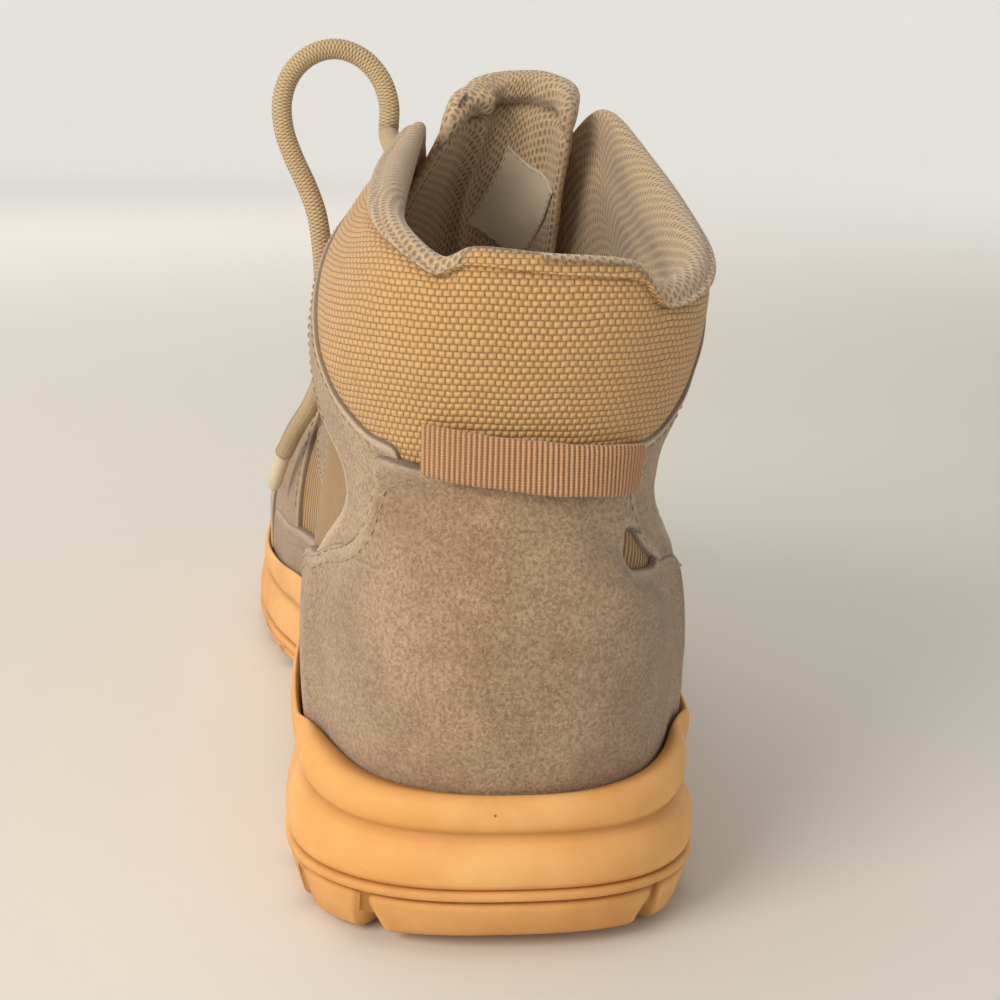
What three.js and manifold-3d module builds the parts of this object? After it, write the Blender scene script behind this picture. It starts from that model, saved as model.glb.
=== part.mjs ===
// Combat boot for the right foot, size EU 42 (US 9), in millimetres, +Z up.
// +Y points to the toe, +X to the lateral (outer) side, -X to the medial (inner) side.
// The origin is the centre of the heel's flat spot on the ground.
//
// Stations: "s" is the distance from the back of the heel towards the toe.
// The upper, heel counter, tongue, pull band, eyelets, lace and sole cavity are all taken from
// one form, the outside of the lasted upper, at different distances from it.
import * as THREE from 'three';
import { mergeVertices } from 'three/addons/utils/BufferGeometryUtils.js';
import Module from 'manifold-3d';

const wasm = await Module();
wasm.setup();

// ---------------------------------------------------------------- driving dimensions
const HEEL_REST_S = 40; // station of the heel's flat spot, where the origin is
const UPPER_LENGTH = 291; // heel bulge to toe tip of the upper
const SOLE_START = -4; // back edge of the sole, behind the upper
const SOLE_LENGTH = 302;
const FIT = 0.4; // gap that neighbouring curved pieces keep
const CUP_GAP = 0.6; // gap between the upper and the foam cup round it

const WALL = 2.6; // suede or nylon with its lining
const COLLAR_PAD = 6; // foam added inside the wall round the collar
const PAD_ALONG = { from: 0.66, to: 0.8 }; // where the pad starts, on the way from toe to heel
const PAD_UP = { from: 0.45, to: 0.7 }; // where it starts, on the way from sole to opening
const PAD_EDGE = { from: 0.93, thinner: 0.35 }; // the pad thins again towards the opening
const COUNTER_WALL = 1.6;
const COUNTER_LIFT = 0.9;
const COUNTER_REACH = 2.05; // half angle round the leg, in radians
const BAND_WALL = 1.3;
const BAND_LIFT = 0.6;
const BAND_BOW = 1.4; // how far the sewn-down band stands off between its ends
const BAND_HALF = 5;
const BAND_REACH = 0.39;
const BAND_TURN = 0.06; // the band sits a little towards the outer side
const TONGUE_WALL = 6;
const TONGUE_EASE = 1.0; // gap to the inside of the upper
const TONGUE_DROP = 0.6; // rows of the table that its top corners are lower by
const TONGUE_STEPS = 15;
const TONGUE_COLUMNS = 10;
const INSOLE_WALL = 4;
const INSOLE_EASE = 2.4; // the sock liner is cut a little small
const INSOLE_LIFT = 0.3;

const SPINE_S = 70; // station of the leg's axis
const SPINE_Z = 40; // height of the foot's axis
const BEND_R = 90; // radius that joins the two axes
const TOE_SPINE_END = 235;
const BED_SPINE = { from: 50, to: 215 }; // stations of the middle line that the sole's bed is seen from
const BED_REACH = 60; // how far out a guide ray for the bed points
const BLEND = 16; // soft join of leg and foot forms
const LEG_MID_S = 55; // widest station of a leg section
const HEEL_VIEW_S = 67; // station that patches round the heel are seen from
const LEG_POWER = 2.35; // squareness of a leg section
const FOOT_POWER = 2.25;
const FOOT_TUCK = 62; // lower half-height of a foot section: how little the sides tuck in
const FOOT_START = 46; // behind this station only the leg form counts
const TOE_CAP_START = 236; // where the toe starts to close
const TOE_PLAN_POWER = 2.1; // roundness of the toe seen from above
const TOE_SIDE_POWER = 3.2; // roundness of the toe seen from the side
const DEEP_INSIDE = -30; // field value on a section's own middle line
const LEG_CENTRE_FADE = { from: 130, to: 165 }; // stations where the leg's own middle line fades out

const SOLE_MIDDLE = { from: 44, to: 246 }; // ends of the sole's middle line
const SOLE_HEEL_ROUND = { length: 46, power: 2.6 };
const SOLE_TOE_ROUND = { start: 232, power: 2.15 };
const RIM_DROP = 0.6; // the cup's inner edge lies this far below its rim
const OUTSOLE_STEPS = [
  // out from the plan, share of the way from ground to joint, rise from there
  { out: -4.5, share: 0, rise: 0 },
  { out: -0.8, share: 0.45, rise: 0 },
  { out: -0.2, share: 1, rise: -1.2 },
  { out: -1.0, share: 1, rise: -0.3 },
];

const AROUND = 64; // points in a ring round the boot
const UP = 12; // steps from sole to opening

const EYELET_ROWS = [0.24, 0.31, 0.38, 0.45, 0.51, 0.57, 0.62]; // places along the facing
const EYELET_INSET = 9; // from the facing's edge
const EYELET_R = 4;
const EYELET_HOLE_R = 2.4;
const EYELET_THICK = 0.8;
const EYELET_LIFT = 0.7;
const LACE_R = 2.4;
const LACE_LIFT = LACE_R + 2.0; // lace centre above the upper
const LACE_SIDES = 6;
const RUN_STEPS = 5;
const RUN_POINTS = 6; // places that fix the way of a lace run
const CORD_SIDES = 8;
const RING_SIDES = 8;
const CORD_STEPS = 24;
const TIP_R = 1.9;

// ---------------------------------------------------------------- tables
// Leg: horizontal sections. cx centre, med and lat half widths, back and front stations.
const LEG = [
  { at: 20, cx: 0, med: 35.4, lat: 35.4, back: 6.0, front: 150 },
  { at: 30, cx: 0, med: 37.1, lat: 37.1, back: 3.5, front: 150 },
  { at: 43, cx: 0, med: 38.0, lat: 37.6, back: 1.2, front: 150 },
  { at: 56, cx: 0, med: 37.8, lat: 37.5, back: 0.8, front: 150 },
  { at: 72, cx: 0, med: 36.2, lat: 35.7, back: 3.2, front: 150 },
  { at: 86, cx: 0, med: 35.5, lat: 32.6, back: 7.5, front: 150 },
  { at: 100, cx: 0, med: 38.2, lat: 37.4, back: 9.0, front: 148 },
  { at: 113, cx: 0, med: 39.8, lat: 40.8, back: 8.0, front: 146 },
  { at: 126, cx: 0.5, med: 37.6, lat: 42.0, back: 7.8, front: 141 },
  { at: 138, cx: 2, med: 31.5, lat: 39.1, back: 9.0, front: 136 },
  { at: 150, cx: 5.5, med: 26.5, lat: 34.5, back: 12, front: 131 },
  { at: 168, cx: 10, med: 22.5, lat: 29.5, back: 16, front: 127 },
];

// Foot: upright sections. mid is the height of the widest line, top the height of the ridge.
const FOOT = [
  { at: 40, cx: 0, med: 35.0, lat: 35.0, mid: 48, top: 90 },
  { at: 90, cx: 0, med: 33.1, lat: 35.4, mid: 46, top: 110 },
  { at: 125, cx: 0, med: 33.6, lat: 37.6, mid: 43, top: 113 },
  { at: 150, cx: 0, med: 36.3, lat: 41.1, mid: 39, top: 105 },
  { at: 175, cx: 0, med: 41.4, lat: 45.6, mid: 36, top: 93 },
  { at: 200, cx: 0, med: 45.1, lat: 49.6, mid: 34, top: 82 },
  { at: 220, cx: -0.5, med: 44.6, lat: 49.6, mid: 34, top: 74 },
  { at: 240, cx: -2, med: 41.9, lat: 47.2, mid: 35, top: 68 },
  { at: 265, cx: -5, med: 37.7, lat: 43.5, mid: 37, top: 64.5 },
  { at: 291, cx: -9, med: 34.0, lat: 39.7, mid: 39, top: 62 },
];

// Opening: the edge on each side, from the foot of the throat to the middle of the back.
// at 0..1 along it, out is the distance from the leg's middle, s and z the place in side view.
// A notch parts the low back panel from the side, and lies nearer the back on the inner side.
const THROAT = [
  { at: 0.0, out: 0.0, s: 205, z: 82 },
  { at: 0.1, out: 7.4, s: 203, z: 83 },
  { at: 0.2, out: 12.6, s: 196, z: 85 },
  { at: 0.3, out: 14.9, s: 184, z: 90 },
  { at: 0.4, out: 16.3, s: 166, z: 100 },
  { at: 0.5, out: 17.7, s: 148, z: 114 },
  { at: 0.57, out: 18.6, s: 137, z: 131 },
  { at: 0.63, out: 20.5, s: 129, z: 147 },
];
const OPENING_MEDIAL = [
  ...THROAT,
  { at: 0.69, out: 24.8, s: 114, z: 154 },
  { at: 0.76, out: 24.0, s: 88, z: 151 },
  { at: 0.83, out: 23.5, s: 58, z: 146.5 },
  { at: 0.875, out: 22.0, s: 31, z: 140 },
  { at: 0.90625, out: 18.6, s: 13, z: 135.5 },
  { at: 0.9375, out: 13.5, s: 9, z: 137.5 },
  { at: 1.0, out: 0.0, s: 8.5, z: 136.5 },
];
const OPENING_LATERAL = [
  ...THROAT,
  { at: 0.69, out: 26.7, s: 116, z: 157 },
  { at: 0.76, out: 33.1, s: 88, z: 149 },
  { at: 0.83, out: 35.4, s: 58, z: 139.5 },
  { at: 0.875, out: 32.5, s: 34, z: 132 },
  { at: 0.90625, out: 27.5, s: 15.5, z: 129.5 },
  { at: 0.9375, out: 22.0, s: 10.5, z: 134.5 },
  { at: 1.0, out: 0.0, s: 8.5, z: 136.5 },
];

// Sole plan: half widths at the widest level of the sole.
const SOLE_PLAN = [
  { at: -4, cx: 0, med: 42.4, lat: 40.8 },
  { at: 45, cx: 0, med: 43.8, lat: 42.2 },
  { at: 90, cx: 0, med: 38.6, lat: 40.7 },
  { at: 122, cx: 0, med: 34.7, lat: 42.0 },
  { at: 150, cx: 0, med: 37.9, lat: 45.5 },
  { at: 178, cx: 0, med: 45.3, lat: 51.0 },
  { at: 205, cx: 0, med: 49.0, lat: 54.6 },
  { at: 228, cx: -0.5, med: 48.1, lat: 54.1 },
  { at: 250, cx: -3, med: 44.4, lat: 50.3 },
  { at: 298, cx: -9, med: 37.0, lat: 43.7 },
];

// Sole heights along the foot: ground is the tread's underside, joint the line between
// outsole and midsole, rim the top of the cup, floor the bed inside it.
const SOLE_SIDE = [
  { at: -4, ground: 4.0, joint: 14.2, rim: 32.4, floor: 23 },
  { at: 12, ground: 0.9, joint: 12.8, rim: 32.6, floor: 23 },
  { at: 24, ground: 0.0, joint: 11.8, rim: 34, floor: 23 },
  { at: 62, ground: 0.0, joint: 10.6, rim: 37.5, floor: 23 },
  { at: 84, ground: 1.5, joint: 10.0, rim: 37.5, floor: 22.5 },
  { at: 120, ground: 4.0, joint: 10.0, rim: 35.5, floor: 21 },
  { at: 160, ground: 1.2, joint: 8.8, rim: 30, floor: 18 },
  { at: 184, ground: 0.0, joint: 8.0, rim: 27, floor: 15.5 },
  { at: 234, ground: 0.0, joint: 8.0, rim: 25.5, floor: 15 },
  { at: 262, ground: 2.5, joint: 10.5, rim: 28, floor: 17 },
  { at: 298, ground: 12.0, joint: 19.5, rim: 35, floor: 24 },
];

// Midsole wall, from the joint line up to the rim: rise is the share of the wall's height,
// out the distance from the sole plan.
const MIDSOLE_WALL = [
  { rise: 0.0, out: -1.2 },
  { rise: 0.12, out: 0.0 },
  { rise: 0.32, out: -0.4 },
  { rise: 0.5, out: -2.2 },
  { rise: 0.58, out: -2.9 },
  { rise: 0.66, out: -2.3 },
  { rise: 0.8, out: -1.9 },
  { rise: 0.93, out: -2.3 },
  { rise: 1.0, out: -3.0 },
];

// Channels cut into the tread. s and x of the middle, long and wide in plan, turn in degrees.
const CHANNELS = [
  { s: 6, x: -38, long: 40, wide: 5, turn: 52 },
  { s: 6, x: 38, long: 40, wide: 5, turn: -52 },
  { s: 22, x: 0, long: 34, wide: 4.5, turn: 0 },
  { s: 60, x: 0, long: 34, wide: 4.5, turn: 0 },
  { s: 36, x: -36, long: 38, wide: 4.5, turn: 10 },
  { s: 36, x: 36, long: 38, wide: 4.5, turn: -10 },
  { s: 53, x: -17, long: 58, wide: 4.5, turn: 90 },
  { s: 53, x: 17, long: 58, wide: 4.5, turn: 90 },
  { s: 60, x: -34, long: 40, wide: 4.5, turn: -10 },
  { s: 60, x: 34, long: 40, wide: 4.5, turn: 10 },
  { s: 84, x: 0, long: 110, wide: 7, turn: 0 },
  { s: 148, x: 0, long: 120, wide: 7, turn: 0 },
  { s: 170, x: -36, long: 44, wide: 4.5, turn: 14 },
  { s: 170, x: 38, long: 44, wide: 4.5, turn: -14 },
  { s: 192, x: -38, long: 44, wide: 4.5, turn: 10 },
  { s: 192, x: 41, long: 44, wide: 4.5, turn: -10 },
  { s: 214, x: -38, long: 44, wide: 4.5, turn: 0 },
  { s: 214, x: 41, long: 44, wide: 4.5, turn: 0 },
  { s: 236, x: -36, long: 44, wide: 4.5, turn: -12 },
  { s: 236, x: 38, long: 44, wide: 4.5, turn: 12 },
  { s: 181, x: 0, long: 34, wide: 4.5, turn: 0 },
  { s: 203, x: 0, long: 34, wide: 4.5, turn: 0 },
  { s: 226, x: 0, long: 34, wide: 4.5, turn: 0 },
  { s: 264, x: -6, long: 130, wide: 5, turn: 0 },
  { s: 282, x: -8, long: 30, wide: 5, turn: 90 },
  { s: 205, x: -17, long: 116, wide: 4, turn: 90 },
  { s: 205, x: 17, long: 116, wide: 4, turn: 90 },
];
const LUG_DEPTH = 4.5;

// Loose lace end: out of the top medial eyelet, up in a small loop, then down the inner side.
const LACE_END = [
  { x: -19.1, s: 124.0, z: 150.5 },
  { x: -19.0, s: 126.0, z: 156.0 },
  { x: -21.0, s: 128.0, z: 161.8 },
  { x: -25.4, s: 129.6, z: 166.4 },
  { x: -31.4, s: 130.6, z: 168.3 },
  { x: -37.6, s: 130.8, z: 166.6 },
  { x: -42.2, s: 130.4, z: 162.0 },
  { x: -44.2, s: 129.6, z: 155.8 },
  { x: -43.7, s: 128.4, z: 149.2 },
  { x: -41.4, s: 126.6, z: 142.8 },
  { x: -38.4, s: 124.4, z: 136.6 },
  { x: -36.0, s: 122.6, z: 130.0 },
  { x: -34.7, s: 122.4, z: 122.0 },
  { x: -34.0, s: 125.0, z: 113.0 },
  { x: -33.0, s: 129.6, z: 103.6 },
  { x: -32.7, s: 136.0, z: 94.4 },
  { x: -33.9, s: 143.8, z: 85.8 },
  { x: -36.3, s: 152.5, z: 77.7 },
  { x: -39.8, s: 161.0, z: 69.8 },
  { x: -43.0, s: 169.0, z: 61.0 },
];
// Tag on its end, pointing down along the forefoot.
const LACE_TIP = [
  { x: -43.2, s: 169.5, z: 60.3 },
  { x: -45.8, s: 177.8, z: 49.3 },
];

// Tongue: its middle line in side view, and its half width.
const TONGUE = [
  { at: 0, s: 214, z: 78, half: 22.3 },
  { at: 1, s: 190, z: 88, half: 26.0 },
  { at: 2, s: 166, z: 101, half: 28.8 },
  { at: 3, s: 148, z: 115, half: 29.8 },
  { at: 4, s: 137, z: 132, half: 28.8 },
  { at: 5, s: 130, z: 150, half: 28.0 },
  { at: 6, s: 127, z: 166, half: 26.0 },
];

// ---------------------------------------------------------------- small helpers
const clamp = (value, low, high) => Math.min(high, Math.max(low, value));
const mix = (a, b, share) => a + (b - a) * share;
const smooth = (low, high, value) => {
  const share = clamp((value - low) / (high - low), 0, 1);
  return share * share * (3 - 2 * share);
};
const vec = (x, s, z) => new THREE.Vector3(x, s, z);

// Reads a table between its rows with a smooth curve through them.
function rowAt(table, at) {
  const last = table.length - 1;
  const here = clamp(at, table[0].at, table[last].at);
  let i = 0;
  while (i < last - 1 && here > table[i + 1].at) i += 1;
  const share = (here - table[i].at) / (table[i + 1].at - table[i].at);
  const before = table[Math.max(i - 1, 0)];
  const after = table[Math.min(i + 2, last)];
  const step = table[i + 1].at - table[i].at;
  const out = {};
  for (const name of Object.keys(table[i])) {
    const a = table[i][name];
    const b = table[i + 1][name];
    const slopeA = ((b - before[name]) / (table[i + 1].at - before.at)) * step;
    const slopeB = ((after[name] - a) / (after.at - table[i].at)) * step;
    const t2 = share * share;
    const t3 = t2 * share;
    out[name] = a * (2 * t3 - 3 * t2 + 1) + b * (3 * t2 - 2 * t3)
      + slopeA * (t3 - 2 * t2 + share) + slopeB * (t3 - t2);
  }
  return out;
}

// ---------------------------------------------------------------- the upper's form
const superRadius = (a, b, power) => (a ** power + b ** power) ** (1 / power);
// Half width left where a rounded end has been run into by a share of its length.
const rounded = (run, power) => (1 - run ** power) ** (1 / power);

function legField(x, s, z) {
  const row = rowAt(LEG, z);
  const across = Math.abs(x - row.cx) / (x < row.cx ? row.med : row.lat);
  const along = Math.abs(s - LEG_MID_S) / (s < LEG_MID_S ? LEG_MID_S - row.back : row.front - LEG_MID_S);
  const ratio = superRadius(across, along, LEG_POWER);
  return ratio < 1e-6 ? DEEP_INSIDE : Math.hypot(x - row.cx, s - LEG_MID_S) * (1 - 1 / ratio);
}

function footField(x, s, z) {
  const row = rowAt(FOOT, s);
  const run = clamp((s - TOE_CAP_START) / (UPPER_LENGTH - TOE_CAP_START), 0, 0.999);
  const plan = rounded(run, TOE_PLAN_POWER);
  const side = rounded(run, TOE_SIDE_POWER);
  const across = Math.abs(x - row.cx) / ((x < row.cx ? row.med : row.lat) * plan);
  const rise = z - row.mid;
  const up = Math.abs(rise) / (rise > 0 ? (row.top - row.mid) * side : FOOT_TUCK);
  const ratio = superRadius(across, up, FOOT_POWER);
  const inSection = ratio < 1e-6 ? DEEP_INSIDE : Math.hypot(x - row.cx, rise) * (1 - 1 / ratio);
  return Math.max(inSection, s - UPPER_LENGTH, FOOT_START - s);
}

// Leg and foot joined softly.
function field(p) {
  const a = legField(p.x, p.y, p.z);
  const b = footField(p.x, p.y, p.z);
  const near = Math.max(BLEND - Math.abs(a - b), 0) / BLEND;
  return Math.min(a, b) - (near * near * BLEND) / 4;
}

function slope(p) {
  const h = 0.2;
  const gx = field(vec(p.x + h, p.y, p.z)) - field(vec(p.x - h, p.y, p.z));
  const gy = field(vec(p.x, p.y + h, p.z)) - field(vec(p.x, p.y - h, p.z));
  const gz = field(vec(p.x, p.y, p.z + h)) - field(vec(p.x, p.y, p.z - h));
  return vec(gx, gy, gz).divideScalar(2 * h);
}
const distance = (p) => field(p) / Math.max(slope(p).length(), 0.3);
const outward = (p) => slope(p).normalize();

// The point of the boot's bent axis that a surface point is seen from.
function spine(p) {
  const centreS = SPINE_S + BEND_R;
  const centreZ = SPINE_Z + BEND_R;
  if (p.z >= centreZ && p.y < centreS) return vec(rowAt(LEG, p.z).cx, SPINE_S, p.z);
  if (p.y >= centreS) return vec(0, Math.min(p.y, TOE_SPINE_END), SPINE_Z);
  const away = vec(0, p.y - centreS, p.z - centreZ).setLength(BEND_R);
  return vec(0, centreS + away.y, centreZ + away.z);
}

// The point of a ray, starting inside the form, that lies at a distance from the form.
function alongRay(from, ray, off) {
  let low = 0;
  let high = 130; // longer than any way out of the form
  for (let i = 0; i < 40; i += 1) {
    const mid = (low + high) / 2;
    if (distance(from.clone().addScaledVector(ray, mid)) > off) high = mid;
    else low = mid;
  }
  return from.clone().addScaledVector(ray, low);
}

// Moves a guide point along its ray from the axis until it lies at a distance from the form.
function onForm(guide, off) {
  const from = spine(guide);
  return alongRay(from, guide.clone().sub(from).normalize(), off);
}

const bedSpine = (s, z) => vec(0, clamp(s, BED_SPINE.from, BED_SPINE.to), z);

// Slides a point sideways, at its own height, to a distance from the form.
function onLevel(p, off) {
  const from = bedSpine(p.y, p.z);
  return alongRay(from, p.clone().sub(from).normalize(), off);
}

// Middle of the boot at a height and a station: the leg leans out a little, the foot does not.
const middleOf = (z, s) => rowAt(LEG, z).cx * smooth(LEG_CENTRE_FADE.to, LEG_CENTRE_FADE.from, s);

// ---------------------------------------------------------------- rings round the boot
// around 0..1 runs from the toe along the inner side to the heel and back on the outer side.
const sideOf = (around) => (around <= 0.5 ? -1 : 1);
const alongOf = (around) => (around <= 0.5 ? around * 2 : 2 - around * 2);

// The lower edge of the upper, on the sole's bed.
function feather(around, off, lift = FIT) {
  const along = alongOf(around);
  const s = (UPPER_LENGTH * (1 + Math.cos(Math.PI * along))) / 2;
  const z = rowAt(SOLE_SIDE, s).floor + lift;
  const reach = BED_REACH * Math.sin(Math.PI * along) + 1e-3;
  const from = bedSpine(s, z);
  const ray = vec(sideOf(around) * reach, s - from.y, 0).normalize();
  return alongRay(from, ray, off);
}

function opening(around) {
  const row = rowAt(sideOf(around) < 0 ? OPENING_MEDIAL : OPENING_LATERAL, alongOf(around));
  return vec(middleOf(row.z, row.s) + sideOf(around) * row.out, row.s, row.z);
}

// A point of the upper: up 0 at the sole, 1 at the opening.
function upperPoint(around, up, off) {
  if (up === 0) return feather(around, off);
  const guide = feather(around, 0).lerp(opening(around), up);
  return onForm(guide, off);
}

const ringOf = (point) => Array.from({ length: AROUND }, (_, i) => point(i / AROUND));

// ---------------------------------------------------------------- meshes from rings and patches
function meshOf(points, triangles) {
  const geometry = new THREE.BufferGeometry();
  const shifted = points.flatMap((p) => [p.x, p.y - HEEL_REST_S, p.z]);
  geometry.setAttribute('position', new THREE.Float32BufferAttribute(shifted, 3));
  geometry.setIndex(triangles);
  return geometry;
}

// Skin between rings; each ring has the same number of points. Either the rings close on
// themselves, or the first and last ring are closed by strips across the boot.
function solidOfRings(rings, closed) {
  const count = rings[0].length;
  const points = rings.flat();
  const triangles = [];
  const pairs = closed ? rings.length : rings.length - 1;
  for (let j = 0; j < pairs; j += 1) {
    const low = j * count;
    const high = ((j + 1) % rings.length) * count;
    for (let i = 0; i < count; i += 1) {
      const k = (i + 1) % count;
      triangles.push(low + i, high + i, low + k, low + k, high + i, high + k);
    }
  }
  const cap = (start, flip) => {
    for (let i = 0; i < count / 2; i += 1) {
      const a = start + i;
      const b = start + i + 1;
      const c = start + ((count - i) % count);
      const d = start + count - i - 1;
      const tris = [];
      if (i > 0) tris.push([a, b, c]);
      if (i < count / 2 - 1) tris.push([b, d, c]);
      for (const t of tris) triangles.push(...(flip ? [t[0], t[2], t[1]] : t));
    }
  };
  if (!closed) {
    cap(0, false);
    cap((rings.length - 1) * count, true);
  }
  return meshOf(points, triangles);
}

// A slab between two grids of the same size, rows by columns.
function slab(outer, inner) {
  const rows = outer.length;
  const columns = outer[0].length;
  const points = [...outer.flat(), ...inner.flat()];
  const back = rows * columns;
  const at = (r, c) => r * columns + c;
  const triangles = [];
  const quad = (a, b, c, d) => triangles.push(a, b, c, a, c, d);
  for (let r = 0; r < rows - 1; r += 1) {
    for (let c = 0; c < columns - 1; c += 1) {
      quad(at(r, c), at(r, c + 1), at(r + 1, c + 1), at(r + 1, c));
      quad(back + at(r, c), back + at(r + 1, c), back + at(r + 1, c + 1), back + at(r, c + 1));
    }
  }
  for (let c = 0; c < columns - 1; c += 1) {
    quad(at(0, c), back + at(0, c), back + at(0, c + 1), at(0, c + 1));
    quad(at(rows - 1, c), at(rows - 1, c + 1), back + at(rows - 1, c + 1), back + at(rows - 1, c));
  }
  for (let r = 0; r < rows - 1; r += 1) {
    quad(at(r, 0), at(r + 1, 0), back + at(r + 1, 0), back + at(r, 0));
    const end = columns - 1;
    quad(at(r, end), back + at(r, end), back + at(r + 1, end), at(r + 1, end));
  }
  return meshOf(points, triangles);
}

// Turns a geometry's faces outward if they point in, and merges its shared corners.
function outwardFaces(geometry) {
  geometry.deleteAttribute('normal');
  geometry.deleteAttribute('uv');
  const merged = mergeVertices(geometry, 1e-4);
  const p = merged.getAttribute('position');
  const index = merged.getIndex().array;
  let volume = 0;
  const a = new THREE.Vector3();
  const b = new THREE.Vector3();
  const c = new THREE.Vector3();
  for (let i = 0; i < index.length; i += 3) {
    a.fromBufferAttribute(p, index[i]);
    b.fromBufferAttribute(p, index[i + 1]);
    c.fromBufferAttribute(p, index[i + 2]);
    volume += a.dot(b.cross(c));
  }
  if (volume < 0) {
    for (let i = 0; i < index.length; i += 3) {
      [index[i + 1], index[i + 2]] = [index[i + 2], index[i + 1]];
    }
  }
  return merged;
}

function toManifold(geometry) {
  const merged = outwardFaces(geometry);
  return new wasm.Manifold(new wasm.Mesh({
    numProp: 3,
    vertProperties: new Float32Array(merged.getAttribute('position').array),
    triVerts: new Uint32Array(merged.getIndex().array),
  }));
}

function fromManifold(solid) {
  const mesh = solid.getMesh();
  const geometry = new THREE.BufferGeometry();
  geometry.setAttribute('position', new THREE.BufferAttribute(mesh.vertProperties, 3));
  geometry.setIndex([...mesh.triVerts]);
  return geometry;
}

const boot = new THREE.Group();
function add(name, geometry, colour, roughness, metalness = 0) {
  const material = new THREE.MeshStandardMaterial({ color: colour, roughness, metalness });
  const ready = outwardFaces(geometry);
  ready.computeVertexNormals();
  const mesh = new THREE.Mesh(ready, material);
  mesh.name = name;
  boot.add(mesh);
}

// ---------------------------------------------------------------- sole
function soleEdge(around, out) {
  const along = alongOf(around);
  const share = (1 + Math.cos(Math.PI * along)) / 2;
  const s = SOLE_START + SOLE_LENGTH * share;
  const row = rowAt(SOLE_PLAN, s);
  const heelRun = clamp(1 - (s - SOLE_START) / SOLE_HEEL_ROUND.length, 0, 1);
  const toeLength = SOLE_START + SOLE_LENGTH - SOLE_TOE_ROUND.start;
  const toeRun = clamp((s - SOLE_TOE_ROUND.start) / toeLength, 0, 1);
  const close = rounded(heelRun, SOLE_HEEL_ROUND.power) * rounded(toeRun, SOLE_TOE_ROUND.power);
  const side = sideOf(around);
  const half = (side < 0 ? row.med : row.lat) * close;
  const edge = vec(row.cx + side * half, s, 0);
  // move the edge away from the sole's middle line by the profile's distance
  const middle = vec(row.cx, clamp(s, SOLE_MIDDLE.from, SOLE_MIDDLE.to), 0);
  return edge.addScaledVector(edge.clone().sub(middle).normalize(), out);
}

function soleRing(out, height) {
  return ringOf((around) => {
    const p = soleEdge(around, out);
    return vec(p.x, p.y, height(rowAt(SOLE_SIDE, p.y)));
  });
}

function midsole() {
  const rings = MIDSOLE_WALL.map((level) =>
    soleRing(level.out, (row) => mix(row.joint, row.rim, level.rise)));
  const rim = ringOf((around) => {
    const p = feather(around, CUP_GAP);
    p.z = rowAt(SOLE_SIDE, p.y).rim - RIM_DROP;
    return onLevel(p, CUP_GAP);
  });
  const floor = ringOf((around) => feather(around, CUP_GAP, 0));
  return solidOfRings([...rings, rim, floor], false);
}

function outsole() {
  const rings = OUTSOLE_STEPS.map((step) => soleRing(
    step.out,
    (row) => mix(Math.max(row.ground, 0), row.joint, step.share) + step.rise,
  ));
  let solid = toManifold(solidOfRings(rings, false));
  for (const cut of CHANNELS) {
    const box = new THREE.BoxGeometry(cut.long, cut.wide, 2 * LUG_DEPTH);
    box.rotateZ((cut.turn * Math.PI) / 180);
    const ground = rowAt(SOLE_SIDE, cut.s).ground;
    box.translate(cut.x, cut.s - HEEL_REST_S, ground);
    solid = solid.subtract(toManifold(box));
  }
  return fromManifold(solid);
}

function insole() {
  const edge = -WALL - FIT - INSOLE_EASE;
  const low = ringOf((around) => feather(around, edge, INSOLE_LIFT));
  const high = ringOf((around) => feather(around, edge, INSOLE_LIFT + INSOLE_WALL));
  return solidOfRings([low, high], false);
}

// ---------------------------------------------------------------- upper and what lies on it
function wallAt(around, up) {
  const round = smooth(PAD_ALONG.from, PAD_ALONG.to, alongOf(around));
  const rise = smooth(PAD_UP.from, PAD_UP.to, up);
  const edge = 1 - PAD_EDGE.thinner * smooth(PAD_EDGE.from, 1, up);
  return WALL + COLLAR_PAD * round * rise * edge;
}

function upper() {
  const rings = [];
  for (let j = 0; j <= UP; j += 1) rings.push(ringOf((around) => upperPoint(around, j / UP, 0)));
  for (let j = UP; j >= 0; j -= 1) {
    rings.push(ringOf((around) => upperPoint(around, j / UP, -wallAt(around, j / UP))));
  }
  return solidOfRings(rings, true);
}

// A patch round the heel between two heights, from one side to the other.
function heelPatch(columns, rows, edgeLow, edgeHigh, reach, off, shift = 0) {
  const grid = [];
  for (let r = 0; r <= rows; r += 1) {
    const line = [];
    for (let c = 0; c <= columns; c += 1) {
      const turn = mix(-1, 1, c / columns);
      const angle = turn * reach + shift;
      const z = mix(edgeLow(turn), edgeHigh(turn), r / rows);
      const from = vec(rowAt(LEG, z).cx, HEEL_VIEW_S, z);
      const ray = vec(Math.sin(angle), -Math.cos(angle), 0);
      line.push(alongRay(from, ray, off(turn)));
    }
    grid.push(line);
  }
  return grid;
}

// Top edge of the heel counter: highest at the back, falling along the sides.
const counterTop = (turn) => mix(87, 62, smooth(0.22, 1, Math.abs(turn)));
const counterLow = (turn) => 33.2 + 5.4 * smooth(0.05, 0.62, Math.abs(turn));

function heelCounter() {
  const grid = (off) => heelPatch(30, 6, counterLow, counterTop, COUNTER_REACH, () => off);
  return slab(grid(COUNTER_LIFT + COUNTER_WALL), grid(COUNTER_LIFT));
}

// Webbing pull band: level round the back, a little higher on the inner side.
const bandMiddle = (turn) => 96.6 - 2.4 * turn;

function pullBand() {
  const grid = (off) => heelPatch(
    22, 2,
    (turn) => bandMiddle(turn) - BAND_HALF,
    (turn) => bandMiddle(turn) + BAND_HALF,
    BAND_REACH,
    (turn) => off + BAND_BOW * (1 - turn ** 4),
    BAND_TURN,
  );
  return slab(grid(BAND_LIFT + BAND_WALL), grid(BAND_LIFT));
}

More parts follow.
